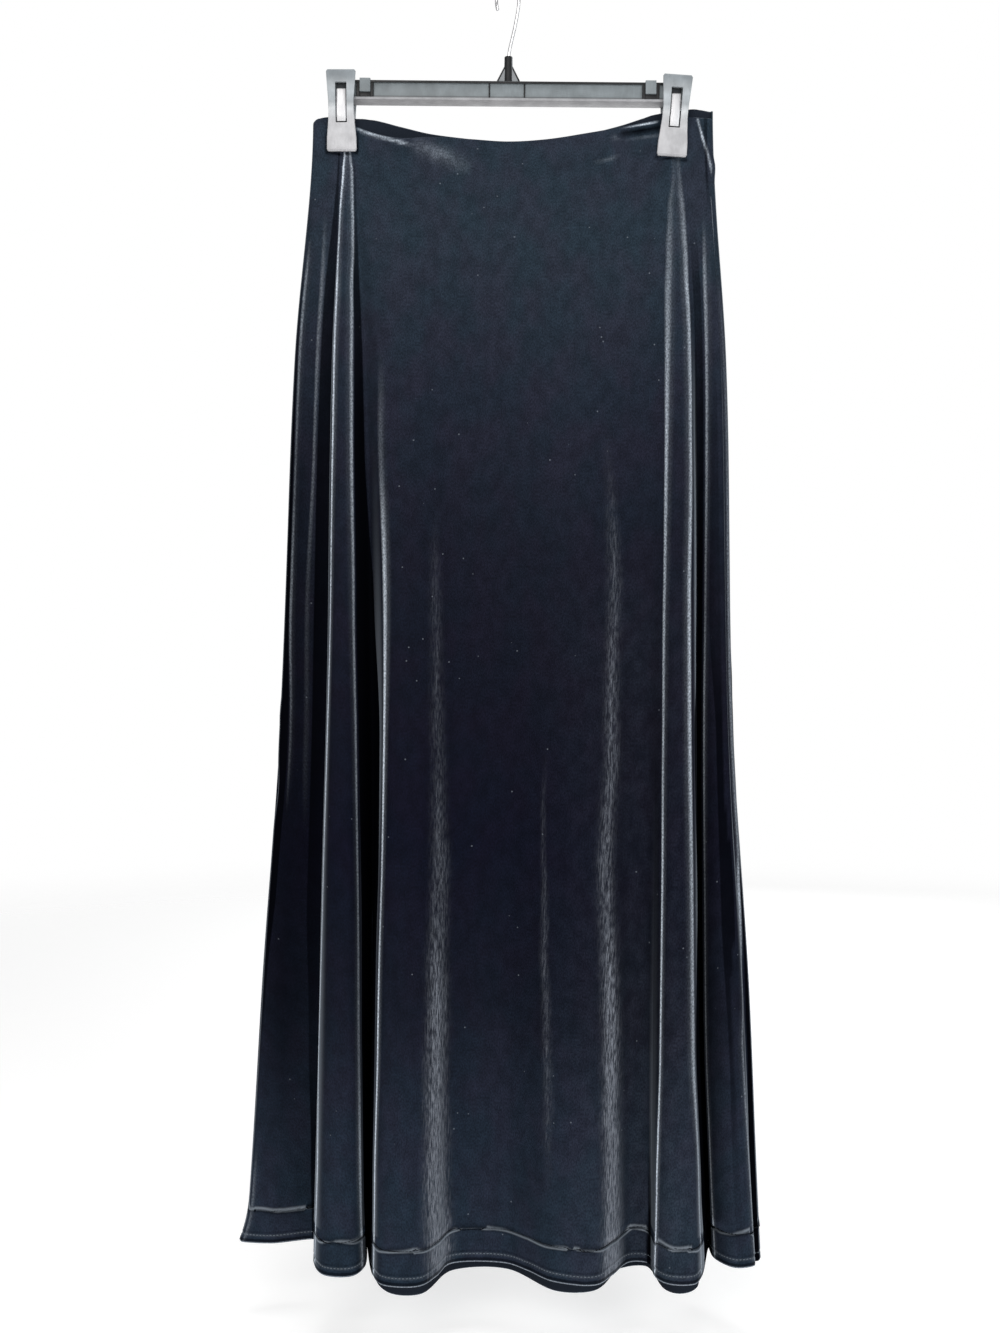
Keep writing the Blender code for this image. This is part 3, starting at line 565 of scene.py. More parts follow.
def sideTurn(seam, inwards, side, depth):  # quarter turn from a side seam to the panel's face
    growth = foldGrowth(seam, depth)
    x = foldX(seam, depth)
    if inwards > 0:  # the left seam kicks out at the hem
        x -= cloth["cornerKick"] * max(0.0, 1 - (hemDepth - depth) / cloth["cornerKickHeight"]) ** 2
    rounder = cloth["sideTurnAtHem"] * growth
    turn = halfGap(x, depth) + rounder
    eighth = math.sqrt(0.5)
    return [
        Vector((x + across * turn * inwards, seam.hemY * growth + side * rounder * out, seam.drop, out))
        for across, out in ((0, cloth["seamGap"] / 2 / turn), (1 - eighth, eighth), (1, 1))
    ]


def sectionAt(panel, depth, steps):  # one level of a panel, left to right: (x, y, hem drop), and its steps
    side = panel["side"]
    left = sideTurn(leftSeam, 1, side, depth)
    right = sideTurn(rightSeam, -1, side, depth)
    middle = [
        Vector((foldX(line, depth), line.hemY * foldGrowth(line, depth), line.drop, 1))
        for line in panel["folds"]
    ]
    knots = [*left, *middle, *reversed(right)]
    if steps is None:
        steps = [max(cloth["fewestSteps"], round((b.xy - a.xy).length / cloth["columnWidth"]))
                 for a, b in zip(knots, knots[1:])]
    return [
        Vector((x, y + side * opened * halfGap(x, depth), drop))
        for x, y, drop, opened in through(knots, steps)
    ], steps


def outwards(points, side):  # unit vectors in the level's plane, out of the skirt
    found = []
    last = len(points) - 1
    for k in range(last + 1):
        if k in (0, last):
            along = Vector((0, side if k == 0 else -side, 0))
        else:
            along = points[k + 1] - points[k - 1]
        found.append(-side * Vector((along.y, -along.x, 0)).normalized())
    return found


def rowDepths():
    found = list(rowSteps["top"])
    while found[-1] < hemDepth - waistDepth - rowSteps["hem"][0] - rowSteps["spare"]:
        grown = max(0, found[-1] - rowSteps["growsFrom"]) * rowSteps["growth"]
        found.append(found[-1] + min(rowSteps["most"], rowSteps["first"] + grown))
    return [waistDepth + below for below in found] + [hemDepth - rise for rise in rowSteps["hem"]]


def alongMarks(lines, x, depth):  # ridges less troughs, or light marks less dark ones, felt here
    total = 0.0
    for line in lines:
        best, reach = None, cloth["markReach"] * line.width
        for (x0, d0, h0), (x1, d1, h1) in zip(line.points, line.points[1:]):
            if not min(d0, d1) - reach < depth < max(d0, d1) + reach:
                continue
            run = Vector((x1 - x0, d1 - d0))
            t = max(0.0, min(1.0, Vector((x - x0, depth - d0)).dot(run) / run.length_squared))
            away = math.hypot(x - x0 - run.x * t, depth - d0 - run.y * t)
            if best is None or away < best[0]:
                best = (away, h0 + (h1 - h0) * smoothstep(t))
        if best:
            total += best[1] * math.exp(-((best[0] / line.width) ** 2))
    return total


# how much painted sheen the bands on the folds' slopes lay here
def sheenStreaksAt(panel, x, depth):
    strength = 0.0
    for line in panel["bands"]:
        if line.points[0][0] < depth:
            middle, halfWidth, most = linearAt(line.points, depth)
            for reach, length in cloth["streakWander"]:
                across = middle / cloth["streakAcross"]
                middle += reach * noise.noise(Vector((depth / length, across, panel["seed"])))
            aside = abs((x - middle) / halfWidth)
            strength = max(strength, most * math.exp(-aside ** cloth["streakSoft"]))
    return strength


def reachedAt(place, steps, run):  # how far along a section this place among the folds is
    knot = min(int(place), len(steps) - 1)
    column = sum(steps[:knot]) + (place - knot) * steps[knot]
    low = min(int(column), len(run) - 2)
    return run[low] + (run[low + 1] - run[low]) * (column - low)


def edgesAlong(panel, setName, run, depth):  # for each column: widths past the nearest edge, its strength
    lines = []
    for line in panel["edges"]:
        if line.set == setName:
            place, strength, width = linearAt(line.points, depth)
            lines.append((reachedAt(place, panel["steps"], run), strength, width, line.towards))
    found = []
    for reached in run:
        where, strength, width, towards = min(lines, key=lambda line: abs(reached - line[0]))
        away = reached - where
        faded = strength * (1 - smoothstep((abs(away) - cloth["edgeFull"]) / cloth["edgeFade"]))
        found.append((away * towards / width, faded))
    return found


def shadesAlong(panel, run, depth):  # for each column: how far inside a dark stretch, its strength
    stretches, limit = [], cloth["shadeLimit"]
    for line in panel["shades"]:
        if line.points[0][0] < depth:
            *ends, strength = linearAt(line.points, depth)
            stretches.append((*(reachedAt(end, panel["steps"], run) for end in ends), strength))
    found = []
    for reached in run:
        inside, strength = max(((min(reached - low, high - reached), most) for low, high, most in stretches),
                               default=(-limit, 0))
        found.append((max(-limit, min(limit, inside)), strength))
    return found


def depthInPleat(points, side):  # 1 where cloth close by on either side stands well in front, where the cloth gets painted shade
    found = []
    for point in points:
        nearby = max(side * other.y for other in points if abs(other.x - point.x) < cloth["pleatReach"])
        found.append(smoothstep((nearby - side * point.y - cloth["pleatFrom"]) / cloth["pleatOver"]))
    return found


def panelRows(panel):  # each row: (points out to the cloth's face, outward directions, depth)
    xs, edgeDepths = zip(*panel["waistLine"])
    side = panel["side"]
    steps = panel["steps"] = sectionAt(panel, hemDepth, None)[1]
    rows = []
    for depth in rowDepths():
        points = sectionAt(panel, depth, steps)[0]
        directions = outwards(points, side)
        waistShare = max(0.0, 1 - (depth - waistDepth) / cloth["waistLevelling"]) ** 2
        run = (depth - waistDepth) / (hemDepth - waistDepth)
        hemShare = smoothstep((run - cloth["hemLevelling"]) / (1 - cloth["hemLevelling"]))
        loose = smoothstep((depth - cloth["rippleFrom"]) / cloth["rippleOver"])
        loose *= 1 - cloth["calmShare"] * smoothstep((depth - cloth["calmFrom"]) / cloth["calmOver"])
        rolls = ((cloth["edgeRoll"], depth - waistDepth, True), (cloth["hemRoll"], hemDepth - depth, False))
        aboveStitches = hemDepth - depth - cloth["stitchLineAbove"]
        groove = cloth["stitchGroove"] * math.exp(-((aboveStitches / cloth["stitchGrooveHalf"]) ** 2))
        placed = []
        for point, out in zip(points, directions):
            dip = (curveAt(xs, edgeDepths, point.x) - waistDepth) * waistShare
            inset = cloth["cornerRound"] - (point.x - points[0].x)
            if inset > 0:  # the waist's left corner is rounded
                rounded = cloth["cornerRound"] - math.sqrt(cloth["cornerRound"] ** 2 - inset**2)
                dip += rounded * max(0.0, 1 - (depth - waistDepth) / cloth["cornerRoundDown"])
            level = Vector((point.x, point.y, -(depth + dip + point.z * hemShare)))
            lift = cloth["wall"] / 2 + alongMarks(panel["creases"], point.x, -level.z)
            lift += cloth["rippleHeight"] * loose * noise.noise(Vector((
                point.x / cloth["rippleWidth"], panel["seed"], depth / cloth["rippleLength"])))
            for roll, inwards, gripped in rolls:  # the waist's edge is flat where a clip grips it
                roll *= openedBy(point.x, depth) if gripped else 1
                if inwards < roll:
                    lift -= roll - math.sqrt(roll**2 - (roll - inwards) ** 2)
            placed.append(level + out * (lift - groove))
        rows.append((placed, directions, depth))
    return rows


def newPiece(name, bm, finishes, sharpAbove=None):
    mesh = bpy.data.meshes.new(name)
    bm.to_mesh(mesh)
    bm.free()
    mesh.shade_smooth()
    if sharpAbove:
        mesh.set_sharp_from_angle(angle=math.radians(sharpAbove))
    piece = linkObject(name, mesh)
    for finish in finishes:
        mesh.materials.append(finish)
    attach(piece, "root")
    return piece


def newGrid(across, down):  # a flat grid, and the row and column of each of its corners
    bm = bmesh.new()
    bmesh.ops.create_grid(bm, x_segments=across, y_segments=down, size=1)
    bm.verts.index_update()
    return bm, [(round((1 - corner.co.y) / 2 * down), round((corner.co.x + 1) / 2 * across))
                for corner in bm.verts]


def clothGrid(rows, side):  # a grid whose corners are put where the cloth hangs
    bm, places = newGrid(len(rows[0]) - 1, len(rows) - 1)
    for corner, (row, column) in zip(bm.verts, places):
        corner.co = rows[row][column] * mm
    if side > 0:
        bmesh.ops.reverse_faces(bm, faces=bm.faces)
    return bm, places


def mapCloth(bm, places, spotOf):  # the cloth's own map; spotOf gives a corner's place on it in metres
    uv = bm.loops.layers.uv.new("cloth")
    for face in bm.faces:
        for loop in face.loops:
            loop[uv].uv = spotOf(*places[loop.vert.index])


def addWall(piece, thickness, insideFinish=0):
    wall = piece.modifiers.new("wall", "SOLIDIFY")
    wall.thickness = thickness * mm
    wall.offset = -1
    wall.material_offset = insideFinish


def makeHem(panel, rows, finish):  # the turned-up layer inside the hem
    inside = cloth["wall"] + cloth["hemRoom"]
    turned = [[point - out * inside for point, out in zip(placed, directions)]
              for placed, directions, depth in rows
              if cloth["hemTurnUp"] >= hemDepth - depth >= cloth["hemEdge"]]
    bm, places = clothGrid(turned, panel["side"])
    mapCloth(bm, places, lambda row, column: (column * cloth["columnWidth"] * mm, row * mm))
    piece = newPiece(panel["name"] + "Hem", bm, (finish,))
    addWall(piece, cloth["hemLayer"])
    return piece


thread = {
    "every": 3.1, "length": 2.5, "width": 0.95, "height": 0.4, "proud": 0.05, "rough": 0.6,
    "twist": (1500, 1500, 1500), "dark": (0.045, 0.058, 0.075, 1), "light": (0.13, 0.155, 0.18, 1),
}


def makeStitches(panel, rows, finish):  # one row of thread, a little above the hem
    placed, directions, _ = min(rows, key=lambda row: abs(hemDepth - row[2] - cloth["stitchLineAbove"]))
    size = Matrix.Diagonal((thread["length"] / 2, thread["width"] / 2, thread["height"] / 2, 1))
    bm = bmesh.new()
    reached, due = 0.0, thread["every"]
    for a, b, out in zip(placed, placed[1:], directions):
        step = (b - a).length
        while due < reached + step:
            middle = a.lerp(b, (due - reached) / step) + out * thread["proud"]
            along = (b - a).normalized()
            across = out.cross(along).normalized()
            turn = Matrix((along, across, out)).transposed().to_4x4()
            bmesh.ops.create_icosphere(
                bm, subdivisions=1, radius=1,
                matrix=Matrix.Scale(mm, 4) @ Matrix.Translation(middle) @ turn @ size)
            due += thread["every"]
        reached += step
    return newPiece(panel["name"] + "Stitches", bm, (finish,))


def bendAt(line, column, side):  # how sharply the cloth turns here, from -1 to 1
    span = cloth["bendSpan"]
    if not span < column < len(line) - 1 - span:
        return 0.0
    before, here, after = line[column - span], line[column], line[column + span]
    turned = (here - before).xy.angle_signed((after - here).xy, 0.0) * -side
    return max(-1.0, min(1.0, turned / max(1.0, (after - before).length) * cloth["bendGain"]))


def makePanel(panel, finishes, threadFinish):
    rows = panelRows(panel)
    sewn = [makeHem(panel, rows, finishes[1]), makeStitches(panel, rows, threadFinish)]
    points = [placed for placed, _, _ in rows]
    bm, places = clothGrid(points, panel["side"])
    alongs = []  # for each row: how far along the cloth each corner is, from the middle
    for placed in points:
        run = [0.0]
        for a, b in zip(placed, placed[1:]):
            run.append(run[-1] + (b - a).length)
        alongs.append([reached - run[-1] / 2 for reached in run])
    names = ("pastA", "edgeA", "pastB", "edgeB", "shadeIn", "shadeMost", "mark", "crush", "turn", "pleat")
    for name in names:
        bm.verts.layers.float.new(name)
    layers = [bm.verts.layers.float[name] for name in names]
    sides = [(edgesAlong(panel, "A", run, depth), edgesAlong(panel, "B", run, depth),
              shadesAlong(panel, run, depth), depthInPleat(placed, panel["side"]))
             for run, (placed, _, depth) in zip(alongs, rows)]
    for corner, (row, column) in zip(bm.verts, places):
        here = points[row][column]
        edgesA, edgesB, shades, pleat = (found[column] for found in sides[row])
        felt = (*edgesA, *edgesB, *shades, alongMarks(panel["marks"], here.x, -here.z),
                sheenStreaksAt(panel, here.x, -here.z), bendAt(points[row], column, panel["side"]), pleat)
        for layer, value in zip(layers, felt):
            corner[layer] = value
    mapCloth(bm, places, lambda row, column: (alongs[row][column] * mm, -rows[row][2] * mm))
    piece = newPiece(panel["name"], bm, finishes)
    addWall(piece, cloth["wall"], insideFinish=1)
    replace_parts(piece, panel["node"])
    across = 2 * max(alongs[-1]) * mm
    top = 2 * max(alongs[0]) * mm
    down = (hemDepth + cloth["hemTurnUp"] - waistDepth) * mm
    (across + top) / 2 * down
    print(panel["name"], "waist", round(top, 3), "hem", round(across, 3), "corners", len(piece.data.vertices))


velvetShadingByHeight = (  # the velvet's navy with painted light and shade by height, darkest a little below the middle: (level from the hang point down over 1.2 m, colour)
    (0.10, (0.0158, 0.0222, 0.0325)), (0.204, (0.0150, 0.0210, 0.0308)), (0.315, (0.0104, 0.0130, 0.0215)),
    (0.427, (0.0058, 0.0070, 0.0130)), (0.538, (0.0042, 0.0047, 0.0100)), (0.649, (0.0030, 0.0035, 0.0090)),
    (0.76, (0.0048, 0.0062, 0.0120)), (0.834, (0.0095, 0.0128, 0.0220)), (0.908, (0.0115, 0.0172, 0.0280)),
)
# the pale colours are painted sheen and painted highlights (opened also colours the lint), and deep is the
# colour of the painted shade
velvetColours = {
    "cool": (0.89, 1.02, 1.01, 1), "warm": (1.10, 0.98, 1.02, 1), "deep": (0.0012, 0.0014, 0.0024, 1),
    "sheenStreak": (0.175, 0.19, 0.222, 1), "grazed": (0.30, 0.34, 0.39, 1), "opened": (0.75, 0.84, 0.95, 1),
    "sheen": (0.62, 0.74, 0.88, 1),
}
velvetGrains = {  # (stretch over the cloth's own metres, detail, roughness, distortion)
    "fibres": ((620, 95, 1), 4, 0.75), "strands": ((300, 14, 1), 3, 0.6, 0.2),
    "flecks": ((900, 500, 1), 2, 0.5), "clouds": ((95, 60, 1), 4, 0.6), "patches": ((34, 20, 1), 3),
}
velvetLook = {  # drift is a grain; numbers in twos or fours are what a spread runs from, and to
    "drift": ((6, 6, 2.2), 3), "driftShare": 0.12, "toneReach": 1.2,
    "patchy": (0.35, 0.65), "cloudy": (0.28, 0.72, 0.82, 1.19), "flecked": (0.3, 0.72, 0.72, 1.3),
    "looseFibres": 1.3, "looseStrands": 1.5, "looseWhere": (0.02, 0.95), "sheenStreak": (0.05, 1.35),
    "paleLeast": 0.24, "paleMore": 0.95, "paleFibres": (0.42, 0.6),
    "grazing": (0.35, 1.0), "grazingPower": 2.2, "turning": (0.0, 0.6, 0.6, 1.2),
    "catchLeast": 0.8, "catchFlecks": 0.4,
    "brushedFlecks": (0.32, 0.68, 0.55, 1.4), "brushedFibres": (0.32, 0.68, 0.75, 1.25),
    "edgeGlowStarts": (-1.0, 0.0), "edgeGlow": (0.0, 1.4, 0.88, 0), "edgeHaze": (0.0, 4.0, 0.12, 0),
    "lintScale": 62, "lint": (0.03, 0.055, 0.09, 0), "markClouds": (0.35, 0.65, 0.6, 1.4),
    "pleatSoft": (-0.5, 0.9), "pileFlecks": 0.5, "pileFibres": 0.3, "pileInSheenStreaks": 1.2,
    "pileStrength": 0.25, "pileHeight": 0.0012, "rough": 0.9, "shine": 0.05,
    "sheen": 0.1, "sheenRough": 0.25,
}
hemPaint = {  # painted highlights (rim, seam) and painted shade (shadow, fold); heights above the hem's edge, in metres of the cloth's own length
    "rim": (0.0002, 0.0014), "shadow": (0.0014, 0.0042), "seam": (0.0062, 0.0088), "fold": (0.0092, 0.0112),
    "rimShare": 0.24, "seamShare": 0.02, "shadowShare": 0.68, "foldShare": 0.25, "soft": 0.0006,
}


def makeVelvet():
    look, colours = velvetLook, velvetColours
    f = Finish("velvet")
    place, cut = f.place(), f.clothMap()
    fibres, strands, flecks, clouds, patches = (f.grain(cut, *settings) for settings in velvetGrains.values())
    crush, turn, marks = f.attribute("crush"), f.attribute("turn"), f.attribute("mark")
    above = f.axis(cut, "Y") + hemDepth * mm

    def hemBand(name):  # its share between two heights above the hem's edge
        (low, high), soft = hemPaint[name], hemPaint["soft"]
        within = f.spread(above, low - soft, low + soft) * f.spread(above, high - soft, high + soft, 1.0, 0.0)
        return within * hemPaint[name + "Share"]

    drift = (f.grain(place, *look["drift"]) - 0.5) * look["driftShare"]
    # the navy by height, with its painted light and shade
    tone = f.ramp((f.axis(place, "Z") * -1.0 + drift) / look["toneReach"], velvetShadingByHeight)
    patched = f.tint(f.spread(patches, *look["patchy"]), colours["cool"], colours["warm"])
    mottled = f.spread(clouds, *look["cloudy"]) * f.spread(flecks, *look["flecked"])
    colour = f.scaled(f.tint(1.0, tone, patched, "MULTIPLY"), mottled)

    # painted sheen streaks on the folds' slopes, mottled like pressed pile, with ragged edges
    loose = (fibres - 0.5) * look["looseFibres"] + (strands - 0.5) * look["looseStrands"]
    ragged = f.spread(crush + loose * f.spread(crush, *look["looseWhere"]), *look["sheenStreak"])
    pale = ragged * (look["paleLeast"] + look["paleMore"] * f.spread(fibres, *look["paleFibres"]))
    colour = f.tint(pale.clamped(), colour, colours["sheenStreak"])

    # pile that catches the light where it is seen edge on
    facing = f.add("ShaderNodeLayerWeight", {}, {"Blend": 0.5}, "Facing")
    grazed = f.spread(facing, *look["grazing"]) ** look["grazingPower"]
    catching = grazed * f.spread(turn, *look["turning"]) * (look["catchLeast"] + look["catchFlecks"] * flecks)
    colour = f.tint(catching.clamped(), colour, colours["grazed"])

    # painted highlights on the folds' edges, then lint, the marks' painted highlights and the hem's pale
    # lines, painted highlights too
    # brushed is a fibre grain that breaks up the painted highlights
    brushed = f.spread(flecks, *look["brushedFlecks"]) * f.spread(fibres, *look["brushedFibres"])
    for setName in ("A", "B"):
        past, strength = f.attribute("past" + setName), f.attribute("edge" + setName)
        glow = f.spread(past, *look["edgeGlow"]) + f.spread(past, *look["edgeHaze"])
        glow = f.spread(past, *look["edgeGlowStarts"]) * glow
        colour = f.tint((strength * glow * brushed).clamped(), colour, colours["opened"])
    lint = f.add("ShaderNodeTexVoronoi", {}, {"Vector": cut, "Scale": look["lintScale"]}, "Distance")
    colour = f.tint(f.spread(lint, *look["lint"]), colour, colours["opened"])
    marked = marks * (brushed * f.spread(clouds, *look["markClouds"]))
    colour = f.tint(marked.clamped(), colour, colours["opened"])
    colour = f.tint(((hemBand("rim") + hemBand("seam")) * brushed).clamped(), colour, colours["opened"])

    # painted shade inside the pleats, at the marks' painted shadows and in the hem's painted shade
    inPleat = f.spread(f.attribute("shadeIn"), *look["pleatSoft"]) * f.attribute("shadeMost")
    dark = inPleat.highest(f.attribute("pleat")) + (marks * -1.0).clamped()
    dark = dark.highest(hemBand("shadow") + hemBand("fold")).clamped()
    # the pile's bump is stronger in the painted sheen streaks
    pile = flecks * look["pileFlecks"] + fibres * (look["pileFibres"] + crush * look["pileInSheenStreaks"])
    lit = f.principled({
        "Base Color": colour, "Roughness": look["rough"], "Specular IOR Level": look["shine"],
        "Sheen Weight": look["sheen"], "Sheen Roughness": look["sheenRough"], "Sheen Tint": colours["sheen"],
        "Normal": f.bump(pile, look["pileStrength"], look["pileHeight"])})
    shaded = f.principled({"Base Color": colours["deep"], "Roughness": 1.0, "Specular IOR Level": 0.0})
    return f.close(f.add("ShaderNodeMixShader", {}, {0: dark, 1: lit, 2: shaded}))


backing = {
    "knitScale": 180, "knitBend": 1.5, "knitShare": 0.5, "knitStrength": 0.3, "knitHeight": 0.0006,
    "sheen": 0.02, "sheenRough": 0.5,
    "dark": (0.0022, 0.0030, 0.0052, 1), "light": (0.0055, 0.0075, 0.0120, 1),
    "paintedLightNearWaist": (0.0125, 0.0160, 0.0230, 1), "waistFade": (-0.045, -0.012),
}


def makeBacking():  # the velvet's dark knit side, made darker still as painted shade, and lighter near the waist's edge as a painted highlight
    f = Finish("velvetBacking")
    cut = f.clothMap()
    knit = f.add("ShaderNodeTexWave", {"bands_direction": "X"}, {
        "Vector": cut, "Scale": backing["knitScale"], "Distortion": backing["knitBend"]})
    colour = f.tint(knit * backing["knitShare"], backing["dark"], backing["light"])
    down = f.axis(cut, "Y") + waistDepth * mm
    colour = f.tint(f.spread(down, *backing["waistFade"]), colour, backing["paintedLightNearWaist"])
    return f.close(f.principled({
        "Base Color": colour, "Roughness": 1.0, "Specular IOR Level": 0.0,
        "Sheen Weight": backing["sheen"], "Sheen Roughness": backing["sheenRough"],
        "Normal": f.bump(knit, backing["knitStrength"], backing["knitHeight"])}))


def makeThread():
    f = Finish("thread")
    colour = f.tint(f.grain(f.place(), thread["twist"], 2), thread["dark"], thread["light"])
    return f.close(f.principled({"Base Color": colour, "Roughness": thread["rough"]}))


# the hanger and its clips

hangerTilt = 0.53  # degrees
plastics = {  # tones are the plastic's colour with painted highlights and painted shade by height; low and reach: the depth where the tones start and how far up they run
    "clipPlastic": {"low": 165, "reach": 100, "tones": (
        (0.02, (0.375, 0.373, 0.386)), (0.30, (0.395, 0.395, 0.408)), (0.41, (0.46, 0.475, 0.490)),
        (0.47, (0.26, 0.28, 0.295)), (0.56, (0.34, 0.37, 0.39)), (0.63, (0.26, 0.28, 0.295)),
        (0.70, (0.18, 0.20, 0.215)), (0.80, (0.145, 0.165, 0.18)), (0.90, (0.15, 0.165, 0.18)),
        (0.97, (0.28, 0.30, 0.31)))},
    "barPlastic": {"low": 118, "reach": 30, "tones": (
        (0.10, (0.34, 0.335, 0.345)), (0.21, (0.20, 0.205, 0.215)), (0.24, (0.09, 0.095, 0.10)),
        (0.28, (0.155, 0.175, 0.185)), (0.70, (0.15, 0.17, 0.18)), (0.82, (0.21, 0.22, 0.23)))},
    "paintedShadePlastic": {"low": 118, "reach": 30, "tones": (
        (0.0, (0.003, 0.0033, 0.004)), (1.0, (0.005, 0.0055, 0.0065)))},
}
plasticLook = {
    "cloud": ((70, 70, 70), 3), "scuff": ((500, 500, 120), 3, 0.6), "clouded": (0.3, 0.7, 0.88, 1.14),
    "scuffed": (0.3, 0.7, 0.95, 1.05), "rough": (0.3, 0.7, 0.42, 0.56), "shine": 0.3,
    "scuffStrength": 0.08, "scuffHeight": 0.0004,
}
steels = {  # painted shade above the depth darkAbove, where the spring bends over the bar; the hook has no such part
    "springSteel": {"shade": 0.55, "rough": 0.5, "darkAbove": 106.5},
    "hookWire": {"shade": 0.7, "rough": 0.2, "darkAbove": -50},
}
steelLook = {
    "brushing": (900, 900, 60), "brushed": (0.3, 0.7), "roughMore": 0.12,
    "blueness": 1.02, "dark": (0.03, 0.033, 0.036, 1),
    "bendSlant": 0.015, "bendSoft": 0.0008,
}


def makePlastic(name):
    plastic, look = plastics[name], plasticLook
    f = Finish(name)
    place = f.place()
    tilt = math.radians(hangerTilt)
    up = f.axis(place, "X") * math.sin(tilt) + f.axis(place, "Z") * math.cos(tilt)
    # the tone by height carries painted highlights and painted shade
    tone = f.ramp((up + plastic["low"] * mm) / (plastic["reach"] * mm), plastic["tones"])
    cloud, scuff = f.grain(place, *look["cloud"]), f.grain(place, *look["scuff"])
    mottled = f.spread(cloud, *look["clouded"]) * f.spread(scuff, *look["scuffed"])
    return f.close(f.principled({
        "Base Color": f.scaled(tone, mottled), "Roughness": f.spread(scuff, *look["rough"]),
        "Specular IOR Level": look["shine"],
        "Normal": f.bump(scuff, look["scuffStrength"], look["scuffHeight"])}))


def makeSteel(name):
    steel, look = steels[name], steelLook
    f = Finish(name)
    place = f.place()
    up = f.axis(place, "Z") + f.axis(place, "X") * look["bendSlant"] + steel["darkAbove"] * mm
    # painted shade on the steel above darkAbove
    shadeAbove = f.spread(up, -look["bendSoft"], look["bendSoft"])
    shade, rough = steel["shade"], steel["rough"]
    colour = f.tint(shadeAbove, (shade, shade, shade * look["blueness"], 1), look["dark"])
    brushed = f.grain(place, look["brushing"], 2)
    return f.close(f.principled({
        "Base Color": colour, "Metallic": 1.0,
        "Roughness": f.spread(brushed, *look["brushed"], rough, rough + look["roughMore"])}))


softening = {
    "merge": 0.002, "flatBelow": 1.0, "bevelAbove": 32, "segments": 2, "sharpAbove": 50,
    "jawEdge": 0.5, "springEdge": 0.2,
}


def softenedCopy(name, node, rounding, finishes):  # the CAD shape, with its edges worn round
    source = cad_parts[node]
    bm = bmesh.new()
    bm.from_mesh(source.data)
    bm.transform(source.matrix_world)
    bmesh.ops.remove_doubles(bm, verts=bm.verts, dist=softening["merge"] * mm)
    bmesh.ops.dissolve_limit(bm, angle_limit=math.radians(softening["flatBelow"]), verts=bm.verts,
                             edges=bm.edges, use_dissolve_boundaries=False)
    manySided = [face for face in bm.faces if len(face.verts) > 4]  # a bevel can leave these crossed
    bmesh.ops.triangulate(bm, faces=manySided, ngon_method="EAR_CLIP")
    sharp = [line for line in bm.edges if len(line.link_faces) == 2
             and line.calc_face_angle(0) > math.radians(softening["bevelAbove"])]
    bmesh.ops.bevel(bm, geom=sharp, offset=rounding * mm, offset_type="OFFSET", affect="EDGES",
                    segments=softening["segments"], profile=0.5, material=-1, clamp_overlap=True)
    piece = newPiece(name, bm, finishes, softening["sharpAbove"])
    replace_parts(piece, node)


bar = {
    "left": -155, "right": 156, "top": -97, "bottom": -114, "deep": 15, "flange": 2.2, "web": (-5.6, -3.4),
    "ribs": (-15.5, 15.6), "ribHalf": 0.6, "ribReach": 6.9, "lineProud": 0.15, "lineDeep": 1,
    "blocks": (-125.6, 127.4), "blockSize": (9.5, 17.6, 12), "blockRise": 1.4,
    "slotWide": 2.8, "slotInWeb": 0.5,
    "postX": 1.2, "postRadius": 4, "postTaper": 0.9, "postTop": -73, "postSides": 28,
    "gussetReach": 8, "gussetTop": -81, "gussetSunk": 0.5, "gussetHalf": 1.2, "gussetRim": 1.1,
    "gussetRimFoot": 1.7, "gussetPanel": 1.6, "rounding": 0.35, "roundingSteps": 2,
}


def addBlock(bm, low, high, dark=False, topHalf=None):  # a worn box; topHalf is half its top's width; a dark one is painted shade
    before = len(bm.faces)
    made = bmesh.ops.create_cube(bm, size=1)["verts"]
    bmesh.ops.scale(bm, vec=Vector(high) - Vector(low), verts=made)
    if topHalf is not None:
        for corner in made:
            if corner.co.z > 0:
                corner.co.x = math.copysign(topHalf, corner.co.x)
    bmesh.ops.translate(bm, vec=(Vector(high) + Vector(low)) / 2, verts=made)
    lines = list({line for corner in made for line in corner.link_edges})
    bmesh.ops.bevel(bm, geom=lines, offset=bar["rounding"], affect="EDGES",
                    segments=bar["roundingSteps"], profile=0.5, material=-1)
    bm.faces.ensure_lookup_table()
    for face in bm.faces[before - len(bm.faces):]:
        face.material_index = int(dark)


